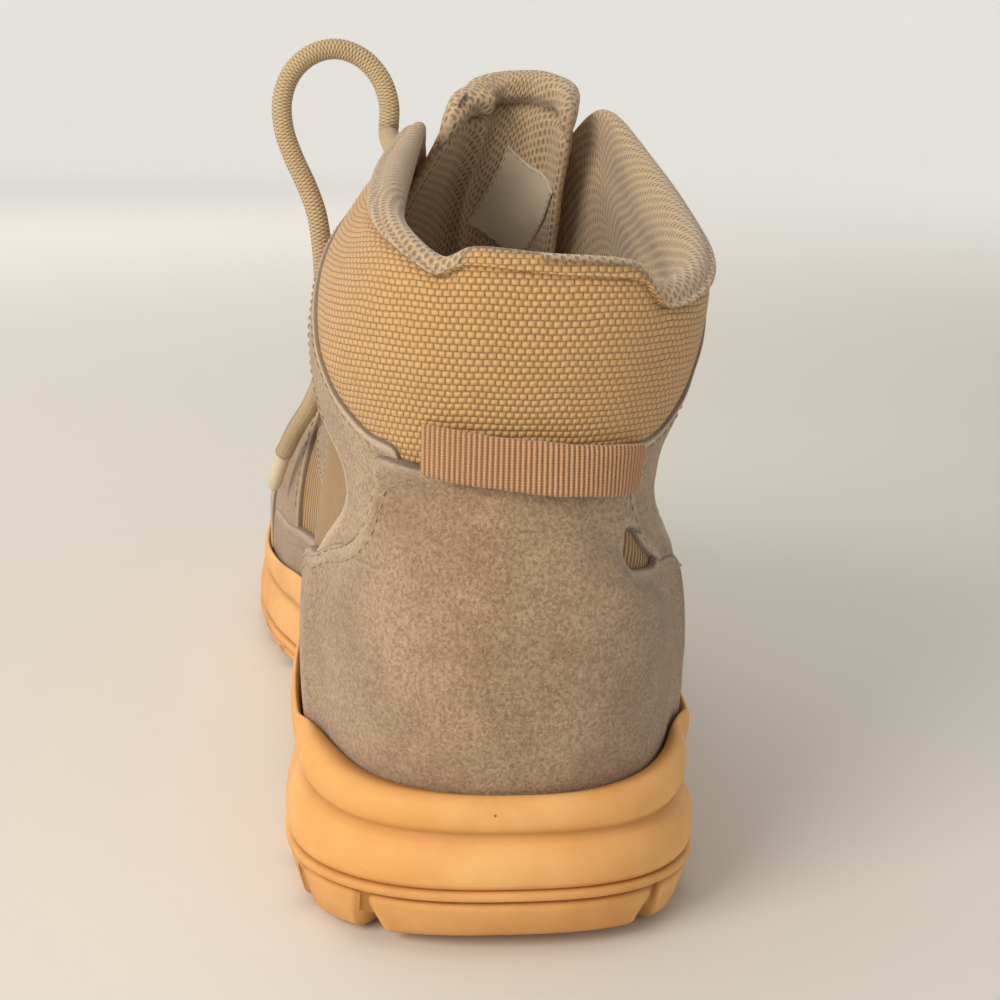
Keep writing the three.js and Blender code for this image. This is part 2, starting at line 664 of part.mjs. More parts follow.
function tongueGrid(off) {
  const grid = [];
  const top = TONGUE[TONGUE.length - 1].at;
  for (let r = 0; r <= TONGUE_STEPS; r += 1) {
    const line = [];
    for (let c = 0; c <= TONGUE_COLUMNS; c += 1) {
      const across = mix(-1, 1, c / TONGUE_COLUMNS);
      const rise = r / TONGUE_STEPS;
      const drop = TONGUE_DROP * Math.abs(across) ** 3 * smooth(0.7, 1, rise);
      const row = rowAt(TONGUE, top * rise - drop);
      line.push(onForm(vec(middleOf(row.z, row.s) + across * row.half, row.s, row.z), off));
    }
    grid.push(line);
  }
  return grid;
}

const tongue = () => slab(
  tongueGrid(-WALL - TONGUE_EASE),
  tongueGrid(-WALL - TONGUE_EASE - TONGUE_WALL),
);

// ---------------------------------------------------------------- eyelets and lace
function eyeletPlace(side, row) {
  const edge = opening(side < 0 ? row / 2 : 1 - row / 2);
  const guide = vec(edge.x + side * EYELET_INSET, edge.y, edge.z);
  return onForm(guide, 0);
}

function eyelet(side, row) {
  const place = eyeletPlace(side, row);
  const profile = [ // distance from the middle, height
    [EYELET_HOLE_R, 0], [EYELET_R, 0], [EYELET_R, EYELET_THICK], [EYELET_HOLE_R, EYELET_THICK],
    [EYELET_HOLE_R, 0],
  ].map(([r, h]) => new THREE.Vector2(r, h));
  const ring = new THREE.LatheGeometry(profile, RING_SIDES);
  const turn = new THREE.Quaternion().setFromUnitVectors(vec(0, 1, 0), outward(place));
  ring.applyQuaternion(turn);
  const seat = place.addScaledVector(outward(place), EYELET_LIFT);
  ring.translate(seat.x, seat.y - HEEL_REST_S, seat.z);
  return ring;
}

// Round tube along points, with flat ends.
function tube(points, radius, sides, steps) {
  const shifted = points.map((p) => vec(p.x, p.y - HEEL_REST_S, p.z));
  const curve = new THREE.CatmullRomCurve3(shifted);
  const circle = new THREE.Shape();
  for (let i = 0; i < sides; i += 1) {
    const angle = (2 * Math.PI * i) / sides;
    const corner = [radius * Math.cos(angle), radius * Math.sin(angle)];
    if (i === 0) circle.moveTo(...corner);
    else circle.lineTo(...corner);
  }
  return new THREE.ExtrudeGeometry(circle, { steps, extrudePath: curve, curveSegments: 1 });
}

function laceRun(fromSide, fromRow, toSide, toRow, lift) {
  const start = eyeletPlace(fromSide, fromRow);
  const end = eyeletPlace(toSide, toRow);
  return Array.from({ length: RUN_POINTS + 1 }, (_, i) =>
    onForm(start.clone().lerp(end, i / RUN_POINTS), lift));
}

function laceCrossings() {
  const first = EYELET_ROWS[0];
  let solid = toManifold(tube(laceRun(-1, first, 1, first, LACE_LIFT), LACE_R, LACE_SIDES, RUN_STEPS));
  for (let i = 0; i < EYELET_ROWS.length - 1; i += 1) {
    for (const side of [-1, 1]) {
      const run = laceRun(side, EYELET_ROWS[i], -side, EYELET_ROWS[i + 1], LACE_LIFT);
      solid = solid.add(toManifold(tube(run, LACE_R, LACE_SIDES, RUN_STEPS)));
    }
  }
  return fromManifold(solid);
}

const routeOf = (rows) => rows.map((p) => vec(p.x, p.s, p.z));

// ---------------------------------------------------------------- the boot
const SUEDE = 0xb39c86;
const NYLON = 0xcba468;
const MIDSOLE = 0xdcaa66;
const RUBBER = 0xd29a58;
const MESH = 0xc4ae90;
const WEBBING = 0xd6a77c;
const LACE = 0xc8b490;
const PLASTIC = 0xd8cdb8;

add('outsole', outsole(), RUBBER, 0.7);
add('midsole', midsole(), MIDSOLE, 0.75);
add('insole', insole(), MESH, 0.9);
add('upper', upper(), NYLON, 0.9);
add('heel_counter', heelCounter(), SUEDE, 0.95);
add('tongue', tongue(), MESH, 0.9);
add('pull_band', pullBand(), WEBBING, 0.85);
for (const [side, word] of [[-1, 'medial'], [1, 'lateral']]) {
  EYELET_ROWS.forEach((row, i) => add(`eyelet_${word}_${i + 1}`, eyelet(side, row), SUEDE, 0.6));
}
add('lace_crossings', laceCrossings(), LACE, 0.9);
add('lace_end', tube(routeOf(LACE_END), LACE_R, CORD_SIDES, CORD_STEPS), LACE, 0.9);
add('lace_tip', tube(routeOf(LACE_TIP), TIP_R, CORD_SIDES, 1), PLASTIC, 0.4);

export default boot;
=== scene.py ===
# %% [markdown]
# # A combat boot in suede and woven nylon
# This lesson builds one well-worn right boot. The solid model of the boot is already there and
# fixes its place and overall size. Here each plain solid is replaced by detailed pieces: sewn
# suede panels, a coarse woven collar, a mesh lining, a ribbed pull band, a moulded sole and
# round laces.

# %% Load the solid model as a fixed frame
import math

import bmesh
import bpy
import numpy as np
from mathutils import Matrix, Vector
from mathutils.geometry import delaunay_2d_cdt


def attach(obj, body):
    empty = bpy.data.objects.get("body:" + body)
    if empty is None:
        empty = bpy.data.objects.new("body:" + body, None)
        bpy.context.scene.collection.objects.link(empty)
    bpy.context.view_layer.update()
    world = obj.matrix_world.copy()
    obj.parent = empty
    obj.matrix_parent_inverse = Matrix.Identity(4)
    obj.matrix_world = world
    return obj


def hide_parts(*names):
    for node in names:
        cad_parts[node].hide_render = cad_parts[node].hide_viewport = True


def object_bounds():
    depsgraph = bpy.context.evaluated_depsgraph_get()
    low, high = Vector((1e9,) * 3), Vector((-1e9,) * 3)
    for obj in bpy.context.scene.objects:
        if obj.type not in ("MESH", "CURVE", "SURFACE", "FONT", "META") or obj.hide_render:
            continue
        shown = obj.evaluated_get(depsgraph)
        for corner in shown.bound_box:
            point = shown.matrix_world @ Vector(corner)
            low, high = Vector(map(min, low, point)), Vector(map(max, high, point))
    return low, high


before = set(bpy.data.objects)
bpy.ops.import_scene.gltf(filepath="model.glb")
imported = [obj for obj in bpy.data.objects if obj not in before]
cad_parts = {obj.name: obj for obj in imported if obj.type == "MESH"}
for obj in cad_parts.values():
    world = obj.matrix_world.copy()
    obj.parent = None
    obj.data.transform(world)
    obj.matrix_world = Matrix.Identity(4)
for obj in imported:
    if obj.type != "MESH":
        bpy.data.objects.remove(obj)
CAD_BOX = [[float(v) for v in corner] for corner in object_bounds()]
print("solid model box in metres:", CAD_BOX)

# %% [markdown]
# ## Camera, floor and light
# The camera stands behind the boot, a little to its inner side and above the collar, so it sees
# the heel, the collar and the inside of the tongue. It is turned towards the boot instead of
# shifted.
# Four large soft lights stand round it. The one behind on the inner side is much the strongest.

# %% Camera behind the heel
MM = 0.001
HEEL_REST_S = 40.0  # stations are measured from the back of the heel, and the origin is here
CAMERA_PLACE = (-49.0, -390.0, 182.0)
CAMERA_TURN = math.radians(6.9)
CAMERA_PITCH = math.radians(14.5)
camera_data = bpy.data.cameras.new("camera")
camera_data.sensor_width = 36.0
camera_data.lens = 70.9
camera_data.clip_start = 0.01
camera = bpy.data.objects.new("camera", camera_data)
camera.location = Vector(CAMERA_PLACE) * MM
level = Matrix.Rotation(math.pi / 2 - CAMERA_PITCH, 3, "X")
camera.rotation_euler = (level @ Matrix.Rotation(-CAMERA_TURN, 3, "Y")).to_euler()
bpy.context.scene.collection.objects.link(camera)
bpy.context.scene.camera = camera
print("camera at", [round(v, 3) for v in camera.location])


# %% Colours are written as a designer reads them, and turned into linear light here
def paint(red, green, blue):
    def linear(v):
        v = v / 255
        return v / 12.92 if v <= 0.04045 else ((v + 0.055) / 1.055) ** 2.4
    return (linear(red), linear(green), linear(blue), 1.0)


def area_light(name, place, aim, size, power, colour):
    data = bpy.data.lights.new(name, "AREA")
    data.shape = "RECTANGLE"
    data.size, data.size_y = size
    data.energy = power
    data.color = colour[:3]
    lamp = bpy.data.objects.new(name, data)
    lamp.location = place
    away = Vector(place) - Vector(aim)
    lamp.rotation_euler = away.to_track_quat("Z", "Y").to_euler()
    bpy.context.scene.collection.objects.link(lamp)


BOOT_MIDDLE = (0.0, 0.08, 0.07)
WARM = paint(255, 244, 228)
area_light("key_light", (-0.75, -0.62, 0.62), BOOT_MIDDLE, (0.6, 0.6), 9.0, WARM)
area_light("fill_light", (0.95, -0.75, 0.55), BOOT_MIDDLE, (0.8, 0.8), 0.3, WARM)
area_light("top_light", (-0.15, 0.15, 1.2), BOOT_MIDDLE, (0.9, 0.9), 3.4, WARM)
area_light("far_light", (-0.3, 1.1, 0.6), BOOT_MIDDLE, (0.9, 0.7), 2.6, WARM)
world = bpy.data.worlds.new("studio")
world.use_nodes = True
world.node_tree.nodes["Background"].inputs["Color"].default_value = paint(250, 248, 244)
world.node_tree.nodes["Background"].inputs["Strength"].default_value = 0.26
bpy.context.scene.world = world
bpy.context.scene.view_settings.view_transform = "Standard"
print("4 soft lights")


# %% [markdown]
# ## Small tools for materials
# A material is a chain of nodes. The tools below add a node and join it in one line, so that
# each finish further down reads as a short recipe: a pattern, a colour from it, a bump from it.

# %% Helpers that add one node each
class Recipe:
    """One material: its nodes, and short calls that add to them."""

    def __init__(self, name, roughness, sheen=0.0, specular=0.35):
        self.material = bpy.data.materials.new(name)
        self.material.use_nodes = True
        self.tree = self.material.node_tree
        self.shader = self.tree.nodes["Principled BSDF"]
        self.shader.inputs["Roughness"].default_value = roughness
        self.shader.inputs["Specular IOR Level"].default_value = specular
        if sheen:
            self.shader.inputs["Sheen Weight"].default_value = sheen
            self.shader.inputs["Sheen Roughness"].default_value = 0.5
        self.bump_chain = None

    def node(self, kind, **settings):
        made = self.tree.nodes.new(kind)
        for key, value in settings.items():
            setattr(made, key, value)
        return made

    def put(self, socket, value):
        if isinstance(value, bpy.types.NodeSocket):
            self.tree.links.new(value, socket)
        else:
            socket.default_value = value

    def math(self, operation, a, b=0.0, c=0.0, clamp=False):
        made = self.node("ShaderNodeMath", operation=operation, use_clamp=clamp)
        for socket, value in zip(made.inputs, (a, b, c)):
            self.put(socket, value)
        return made.outputs[0]

    def place(self):
        """Where a point is on the boot, in metres."""
        return self.node("ShaderNodeTexCoord").outputs["Object"]

    def cloth(self):
        """The cloth's own two directions, in millimetres."""
        split = self.node("ShaderNodeSeparateXYZ")
        self.put(split.inputs[0], self.node("ShaderNodeTexCoord").outputs["UV"])
        return split.outputs[0], split.outputs[1]

    def noise(self, size_mm, detail=3.0, rough=0.55, stretch=(1, 1, 1), seed=0.0):
        at = self.node("ShaderNodeMapping")
        self.put(at.inputs["Vector"], self.place())
        at.inputs["Scale"].default_value = stretch
        at.inputs["Location"].default_value = (seed, seed * 0.37, seed * 0.71)
        made = self.node("ShaderNodeTexNoise")
        self.put(made.inputs["Vector"], at.outputs[0])
        made.inputs["Scale"].default_value = 1.0 / (size_mm * MM)
        made.inputs["Detail"].default_value = detail
        made.inputs["Roughness"].default_value = rough
        return made.outputs[0]

    def step(self, value, low, high, to_low=0.0, to_high=1.0):
        made = self.node("ShaderNodeMapRange", interpolation_type="SMOOTHSTEP")
        for key, v in (("Value", value), ("From Min", low), ("From Max", high),
                       ("To Min", to_low), ("To Max", to_high)):
            self.put(made.inputs[key], v)
        return made.outputs[0]

    def mix(self, share, first, second, blend="MIX"):
        made = self.node("ShaderNodeMix", data_type="RGBA", blend_type=blend)
        self.put(made.inputs[0], share)
        self.put(made.inputs[6], first)
        self.put(made.inputs[7], second)
        return made.outputs[2]

    def attribute(self, name):
        return self.node("ShaderNodeAttribute", attribute_name=name).outputs["Fac"]

    def colour(self, value):
        self.put(self.shader.inputs["Base Color"], value)

    def rough(self, value):
        self.put(self.shader.inputs["Roughness"], value)

    def bump(self, height, depth_mm, strength=1.0):
        made = self.node("ShaderNodeBump")
        self.put(made.inputs["Height"], height)
        made.inputs["Distance"].default_value = depth_mm * MM
        made.inputs["Strength"].default_value = strength
        if self.bump_chain is not None:
            self.put(made.inputs["Normal"], self.bump_chain)
        self.bump_chain = made.outputs[0]
        self.put(self.shader.inputs["Normal"], self.bump_chain)

    def spot(self, place_mm, radius_mm):
        """1 inside a small round mark at a place on the boot, 0 outside."""
        away = self.node("ShaderNodeVectorMath", operation="DISTANCE")
        self.put(away.inputs[0], self.place())
        away.inputs[1].default_value = [v * MM for v in place_mm]
        return self.step(away.outputs["Value"], radius_mm * MM, radius_mm * 0.5 * MM)

# %% [markdown]
# ## The lace end hangs free, so it is settled first
# The lace leaves the top eyelet on the inner side, stands up in one small loop and hangs down
# the ankle to its plastic tag. It is limp, so no bend is tighter than two lace widths. The other
# end of the same lace stops just outside the top eyelet on the outer side; the rest of it is not
# modelled.

# %% Route of the lace end: across, station from the heel, height, in millimetres
LACE_R = 2.4
LACE_END = [
    (-19.1, 124, 150.5), (-19, 126, 156), (-21, 128, 161.8), (-25.4, 129.6, 166.4),
    (-31.4, 130.6, 168.3), (-37.6, 130.8, 166.6), (-42.2, 130.4, 162), (-44.2, 129.6, 155.8),
    (-43.7, 128.4, 149.2), (-41.4, 126.6, 142.8), (-38.4, 124.4, 136.6), (-36, 122.6, 130),
    (-34.7, 122.4, 122), (-34, 125, 113), (-33, 129.6, 103.6), (-32.7, 136, 94.4),
    (-33.9, 143.8, 85.8), (-36.3, 152.5, 77.7), (-39.8, 161, 69.8), (-43, 169, 61),
]
LACE_TIP = [(-43.2, 169.5, 60.3), (-45.8, 177.8, 49.3)]


def in_metres(points):
    """Stations to the boot's own frame: metres, with the origin under the heel."""
    return (np.asarray(points, float) - (0.0, HEEL_REST_S, 0.0)) * MM


def curve_through(points, spacing, closed=False):
    """Points at even spacing on a smooth curve through the given ones."""
    points = np.asarray(points, float)
    if closed:
        ring = np.concatenate([points[-1:], points, points[:2]])
    else:
        ring = np.concatenate([2 * points[:1] - points[1:2], points, 2 * points[-1:] - points[-2:-1]])
    fine = []
    for p0, p1, p2, p3 in zip(ring[:-3], ring[1:-2], ring[2:-1], ring[3:]):
        d0, d1, d2 = (max(float(np.linalg.norm(b - a)) ** 0.5, 1e-4)
                      for a, b in ((p0, p1), (p1, p2), (p2, p3)))
        t1 = d1 * ((p1 - p0) / d0 - (p2 - p0) / (d0 + d1) + (p2 - p1) / d1)
        t2 = d1 * ((p2 - p1) / d1 - (p3 - p1) / (d1 + d2) + (p3 - p2) / d2)
        t = np.linspace(0, 1, 24, endpoint=False)[:, None]
        fine.append(p1 * (2 * t**3 - 3 * t**2 + 1) + t1 * (t**3 - 2 * t**2 + t)
                    + p2 * (3 * t**2 - 2 * t**3) + t2 * (t**3 - t**2))
    fine.append(ring[-2:-1])
    fine = np.concatenate(fine)
    run = np.concatenate([[0], np.cumsum(np.linalg.norm(np.diff(fine, axis=0), axis=1))])
    count = max(int(round(run[-1] / spacing)), 2)
    at = np.linspace(0, run[-1], count + 1)
    if closed:
        at = at[:-1]
    return np.stack([np.interp(at, run, fine[:, k]) for k in range(fine.shape[1])], 1)


def length_of(points):
    return float(np.linalg.norm(np.diff(points, axis=0), axis=1).sum())


lace_path = curve_through(LACE_END, 1.2)
print("lace end:", len(lace_path), "points,", round(length_of(lace_path), 1), "mm")

# %% [markdown]
# ## Turning points and faces into pieces
# Every piece is a mesh made from points in millimetres. One tool makes the mesh, gives it its
# material, smooths it, and lets it ride with the boot's one rigid body.

# %% Make a piece from points and faces


def piece(name, points, faces, recipe, cloth=None, marks=None, stands_for=(), face_kinds=None,
          materials=None):
    mesh = bpy.data.meshes.new(name)
    mesh.from_pydata(in_metres(points).tolist(), [], [tuple(int(i) for i in f) for f in faces])
    mesh.validate()
    made = bpy.data.objects.new(name, mesh)
    bpy.context.scene.collection.objects.link(made)
    for used in materials or [recipe]:
        mesh.materials.append(used.material)
    if face_kinds is not None:
        mesh.polygons.foreach_set("material_index", np.asarray(face_kinds, np.int32))
    if cloth is not None:
        layer = mesh.uv_layers.new(name="cloth")
        corners = np.zeros(len(mesh.loops), np.int32)
        mesh.loops.foreach_get("vertex_index", corners)
        layer.data.foreach_set("uv", np.asarray(cloth, np.float32)[corners].ravel())
    for key, values in (marks or {}).items():
        mesh.attributes.new(key, "FLOAT", "POINT").data.foreach_set("value", np.asarray(values, np.float32))
    work = bmesh.new()
    work.from_mesh(mesh)
    bmesh.ops.recalc_face_normals(work, faces=work.faces)
    work.to_mesh(mesh)
    work.free()
    mesh.shade_smooth()
    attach(made, "root")
    if stands_for:
        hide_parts(*stands_for)
    print(f"{name}: {len(mesh.vertices)} points")
    return made


def unit(v):
    return v / np.maximum(np.linalg.norm(v, axis=-1, keepdims=True), 1e-9)


def frames_along(path):
    """For each point of a path: which way it runs, and two directions across it that never twist."""
    run = unit(np.gradient(path, axis=0))
    across = np.zeros_like(run)
    first = np.cross(run[0], (0.0, 0.0, 1.0))
    if np.linalg.norm(first) < 0.1:
        first = np.cross(run[0], (1.0, 0.0, 0.0))
    across[0] = unit(first)
    for i in range(1, len(path)):
        moved = across[i - 1] - run[i] * np.dot(across[i - 1], run[i])
        across[i] = unit(moved)
    return run, across, np.cross(run, across)


def tube_mesh(path, radius, sides, start=0):
    """Points, faces and cloth directions of a round tube, closed at both ends by flat faces."""
    run, across, over = frames_along(path)
    radius = np.broadcast_to(radius, (len(path),))
    turn = 2 * np.pi * np.arange(sides) / sides
    ring = (across[:, None] * np.cos(turn)[None, :, None] + over[:, None] * np.sin(turn)[None, :, None])
    points = (path[:, None] + ring * radius[:, None, None]).reshape(-1, 3)
    along = np.concatenate([[0], np.cumsum(np.linalg.norm(np.diff(path, axis=0), axis=1))])
    cloth = np.stack([np.tile(turn / (2 * np.pi), len(path)), np.repeat(along, sides)], 1)
    faces = []
    for i in range(len(path) - 1):
        for j in range(sides):
            k = (j + 1) % sides
            faces.append((start + i * sides + j, start + i * sides + k,
                          start + (i + 1) * sides + k, start + (i + 1) * sides + j))
    last = start + (len(path) - 1) * sides
    faces.append(tuple(start + j for j in reversed(range(sides))))
    faces.append(tuple(last + j for j in range(sides)))
    return points, faces, cloth


def ring_faces(rows, count, closed=False):
    """Four-cornered faces between rings of points; closed also joins the last ring to the first."""
    faces = []
    for j in range(rows if closed else rows - 1):
        for i in range(count):
            k, n = (j + 1) % rows, (i + 1) % count
            faces.append((j * count + i, j * count + n, k * count + n, k * count + i))
    return faces


def join_parts(parts):
    """Several (points, faces, cloth) lists as one."""
    points, faces, cloth, count = [], [], [], 0
    for some_points, some_faces, some_cloth in parts:
        points.append(some_points)
        cloth.append(some_cloth)
        faces += [tuple(i + count for i in f) for f in some_faces]
        count += len(some_points)
    return np.concatenate(points), faces, np.concatenate(cloth)


# %% [markdown]
# ## The form under everything
# A shoemaker stretches the upper over a last. Here the last is a formula: level sections for
# the leg and upright sections for the foot, each a rounded box shape, joined softly. The tables
# repeat the solid model's dimensions, so the panels follow it closely. Two places differ: the
# cup's rim at the waist is up to 2.3 mm lower here, and the sole's outer half is up to 0.3 mm
# narrower at the heel and waist.

# %% Tables of the form
UPPER_LENGTH = 291.0
LEG = np.array([
    # height, centre, inner half, outer half, back, front
    (20, 0, 35.4, 35.4, 6, 150), (30, 0, 37.1, 37.1, 3.5, 150), (43, 0, 38, 37.6, 1.2, 150),
    (56, 0, 37.8, 37.5, 0.8, 150), (72, 0, 36.2, 35.7, 3.2, 150), (86, 0, 35.5, 32.6, 7.5, 150),
    (100, 0, 38.2, 37.4, 9, 148), (113, 0, 39.8, 40.8, 8, 146), (126, 0.5, 37.6, 42, 7.8, 141),
    (138, 2, 31.5, 39.1, 9, 136), (150, 5.5, 26.5, 34.5, 12, 131), (168, 10, 22.5, 29.5, 16, 127),
], float)
FOOT = np.array([
    # station, centre, inner half, outer half, height of the widest line, height of the ridge
    (40, 0, 35, 35, 48, 90), (90, 0, 33.1, 35.4, 46, 110), (125, 0, 33.6, 37.6, 43, 113),
    (150, 0, 36.3, 41.1, 39, 105), (175, 0, 41.4, 45.6, 36, 93), (200, 0, 45.1, 49.6, 34, 82),
    (220, -0.5, 44.6, 49.6, 34, 74), (240, -2, 41.9, 47.2, 35, 68),
    (265, -5, 37.7, 43.5, 37, 64.5), (291, -9, 34, 39.7, 39, 62),
], float)
THROAT = [
    # share of the way round, distance from the middle, station, height
    (0, 0, 205, 82), (0.1, 7.4, 203, 83), (0.2, 12.6, 196, 85), (0.3, 14.9, 184, 90),
    (0.4, 16.3, 166, 100), (0.5, 17.7, 148, 114), (0.57, 18.6, 137, 131), (0.63, 20.5, 129, 147),
]
OPENING_MEDIAL = np.array(THROAT + [
    (0.69, 24.8, 114, 154), (0.76, 24, 88, 151), (0.83, 23.5, 58, 146.5), (0.875, 22, 31, 140),
    (0.90625, 18.6, 13, 135.5), (0.9375, 13.5, 9, 137.5), (1, 0, 8.5, 136.5),
], float)
OPENING_LATERAL = np.array(THROAT + [
    (0.69, 26.7, 116, 157), (0.76, 33.1, 88, 149), (0.83, 35.4, 58, 139.5), (0.875, 32.5, 34, 132),
    (0.90625, 27.5, 15.5, 129.5), (0.9375, 22, 10.5, 134.5), (1, 0, 8.5, 136.5),
], float)
SOLE_SIDE = np.array([
    # station, ground, joint of outsole and midsole, rim of the cup, bed inside it
    (-4, 4.0, 14.2, 32.4, 23), (12, 0.9, 12.8, 32.6, 23), (24, 0.0, 11.8, 34, 23),
    (62, 0.0, 10.6, 35.8, 23), (84, 1.5, 10.0, 35.2, 22.5), (120, 4.0, 10.0, 34.2, 21),
    (160, 1.2, 8.8, 30, 18), (184, 0.0, 8.0, 27, 15.5), (234, 0.0, 8.0, 25.5, 15),
    (262, 2.5, 10.5, 28, 17), (298, 12.0, 19.5, 35, 24),
], float)
LEG_MIDDLE_S = 55.0
LEG_POWER = 2.35
FOOT_POWER = 2.25
FOOT_TUCK = 62.0
TOE_CAP_START = 236.0
BLEND = 16.0


def read_row(table, at):
    """Values of a table on a smooth curve through its rows."""
    keys = table[:, 0]
    here = np.clip(at, keys[0], keys[-1])
    i = np.clip(np.searchsorted(keys, here, side="left") - 1, 0, len(keys) - 2)
    before, after = np.maximum(i - 1, 0), np.minimum(i + 2, len(keys) - 1)
    step = (keys[i + 1] - keys[i])[..., None]
    t = (here - keys[i])[..., None] / step
    a, b = table[i, 1:], table[i + 1, 1:]
    slope_a = (b - table[before, 1:]) / (keys[i + 1] - keys[before])[..., None] * step
    slope_b = (table[after, 1:] - a) / (keys[after] - keys[i])[..., None] * step
    return (a * (2 * t**3 - 3 * t**2 + 1) + b * (3 * t**2 - 2 * t**3)
            + slope_a * (t**3 - 2 * t**2 + t) + slope_b * (t**3 - t**2))


def ramp(low, high, value):
    t = np.clip((value - low) / (high - low), 0, 1)
    return t * t * (3 - 2 * t)


# %% Distance from the form, outward direction, and rays that find its surface


def leg_field(p):
    x, s, z = np.moveaxis(p, -1, 0)
    centre, inner, outer, back, front = np.moveaxis(read_row(LEG, z), -1, 0)
    across = np.abs(x - centre) / np.where(x < centre, inner, outer)
    along = np.abs(s - LEG_MIDDLE_S) / np.where(s < LEG_MIDDLE_S, LEG_MIDDLE_S - back, front - LEG_MIDDLE_S)
    ratio = np.maximum((across**LEG_POWER + along**LEG_POWER) ** (1 / LEG_POWER), 1e-6)
    return np.maximum(np.hypot(x - centre, s - LEG_MIDDLE_S) * (1 - 1 / ratio), -60)


def foot_field(p):
    x, s, z = np.moveaxis(p, -1, 0)
    centre, inner, outer, middle, top = np.moveaxis(read_row(FOOT, s), -1, 0)
    run = np.clip((s - TOE_CAP_START) / (UPPER_LENGTH - TOE_CAP_START), 0, 0.999)
    plan = (1 - run**2.1) ** (1 / 2.1)
    side = (1 - run**3.2) ** (1 / 3.2)
    across = np.abs(x - centre) / (np.where(x < centre, inner, outer) * plan)
    up = np.abs(z - middle) / np.where(z > middle, (top - middle) * side, FOOT_TUCK)
    ratio = np.maximum((across**FOOT_POWER + up**FOOT_POWER) ** (1 / FOOT_POWER), 1e-6)
    section = np.maximum(np.hypot(x - centre, z - middle) * (1 - 1 / ratio), -60)
    return np.maximum(np.maximum(section, s - UPPER_LENGTH), 46 - s)


def form_field(p):
    a, b = leg_field(p), foot_field(p)
    near = np.maximum(BLEND - np.abs(a - b), 0) / BLEND
    return np.minimum(a, b) - near * near * BLEND / 4


def outward(p):
    h = 0.2
    return unit(np.stack([form_field(p + h * e) - form_field(p - h * e) for e in np.eye(3)], -1))


def cast(start, ray):
    low = np.zeros(start.shape[:-1])
    high = np.full(start.shape[:-1], 130.0)
    for _ in range(26):
        middle = (low + high) / 2
        outside = form_field(start + ray * middle[..., None]) > 0
        high = np.where(outside, middle, high)
        low = np.where(outside, low, middle)
    return start + ray * low[..., None]


def spine(p):
    """The point of the boot's bent axis that a surface point is seen from."""
    x, s, z = np.moveaxis(p, -1, 0)
    none = np.zeros_like(x)
    leg = np.stack([read_row(LEG, z)[..., 0], none + 70, z], -1)
    foot = np.stack([none, np.minimum(s, 235), none + 40], -1)
    bend = unit(np.stack([none, s - 160, z - 130], -1)) * 90 + (0.0, 160.0, 130.0)
    return np.where(((z >= 130) & (s < 160))[..., None], leg, np.where((s >= 160)[..., None], foot, bend))


def on_form(guide):
    start = spine(guide)
    return cast(start, unit(guide - start))


def side_and_along(around):
    return np.where(around <= 0.5, -1.0, 1.0), np.where(around <= 0.5, around * 2, 2 - around * 2)


def feather_line(around):
    """The lower edge of the upper, where it meets the sole's bed."""
    side, along = side_and_along(around)
    s = UPPER_LENGTH * (1 + np.cos(np.pi * along)) / 2
    z = read_row(SOLE_SIDE, s)[..., 3] + 0.4
    start = np.stack([0 * s, np.clip(s, 50, 215), z], -1)
    reach = 60 * np.sin(np.pi * along) + 1e-3
    return cast(start, unit(np.stack([side * reach, s - start[..., 1], 0 * s], -1)))


def opening_line(around):
    side, along = side_and_along(around)
    row = np.where((side < 0)[..., None], read_row(OPENING_MEDIAL, along), read_row(OPENING_LATERAL, along))
    out, s, z = np.moveaxis(row, -1, 0)
    centre = read_row(LEG, z)[..., 0] * (1 - ramp(130, 165, s))
    return np.stack([centre + side * out, s, z], -1)

# %% [markdown]
# ## Creases and puckers
# A worn boot is not smooth. Each crease is given as a short line on the form with a
# width and a depth: a minus depth is a soft trough, a plus depth a ridge. They move the skin
# that all panels are laid on, so suede, cloth and stitches bend together.

# %% Troughs and ridges: (line points, width, depth)
OUTER_CREASES = [
    ([(10, 9, 87), (19, 11, 80), (27, 18, 71), (35, 30, 62)], 4.0, -1.9),
    ([(12, 6, 79), (21, 9, 70), (30, 17, 61)], 5.0, 1.1),
    ([(26, 18, 84), (33, 27, 76), (38, 42, 70)], 4.0, -1.4),
    ([(34, 52, 92), (38, 72, 88), (38, 92, 88)], 6.0, -1.6),
    ([(38, 60, 104), (36, 90, 103), (30, 118, 108)], 6.0, -1.5),
]
INNER_CREASES = [
    ([(-27, 18, 88), (-19, 13, 86.5), (-9, 10, 88.5)], 3.0, -1.5),
    ([(-30, 20, 82), (-20, 12, 80), (-8, 8, 81)], 5.0, 0.9),
    ([(-34, 28, 90), (-38, 44, 80), (-38, 66, 74)], 6.0, -1.5),
    ([(-38, 60, 104), (-36, 90, 103), (-28, 120, 108)], 6.0, -1.5),
    ([(-41, 30, 128), (-43, 52, 121), (-40, 84, 118)], 8.0, -0.9),
]
VAMP_CREASES = [
    ([(-46, 186, 48), (-34, 191, 70), (0, 194, 84), (34, 191, 70), (48, 186, 48)], 5.0, -1.7),
    ([(-46, 196, 48), (-34, 202, 66), (0, 206, 79), (34, 203, 66), (50, 197, 48)], 4.0, 1.0),
    ([(-47, 204, 46), (-36, 212, 62), (0, 217, 75), (36, 213, 62), (50, 206, 46)], 4.5, -1.6),
    ([(-44, 224, 46), (-30, 229, 62), (0, 232, 70), (34, 230, 60), (46, 226, 46)], 5.0, -0.9),
]
COLLAR_CREASES = [
    ([(-16, 9, 96), (0, 8, 96), (18, 10, 95), (34, 26, 94), (38, 50, 93)], 3.5, -1.0),
    ([(-30, 18, 116), (0, 7, 117), (30, 18, 116)], 9.0, 0.8),
]
CREASES = OUTER_CREASES + INNER_CREASES + VAMP_CREASES + COLLAR_CREASES


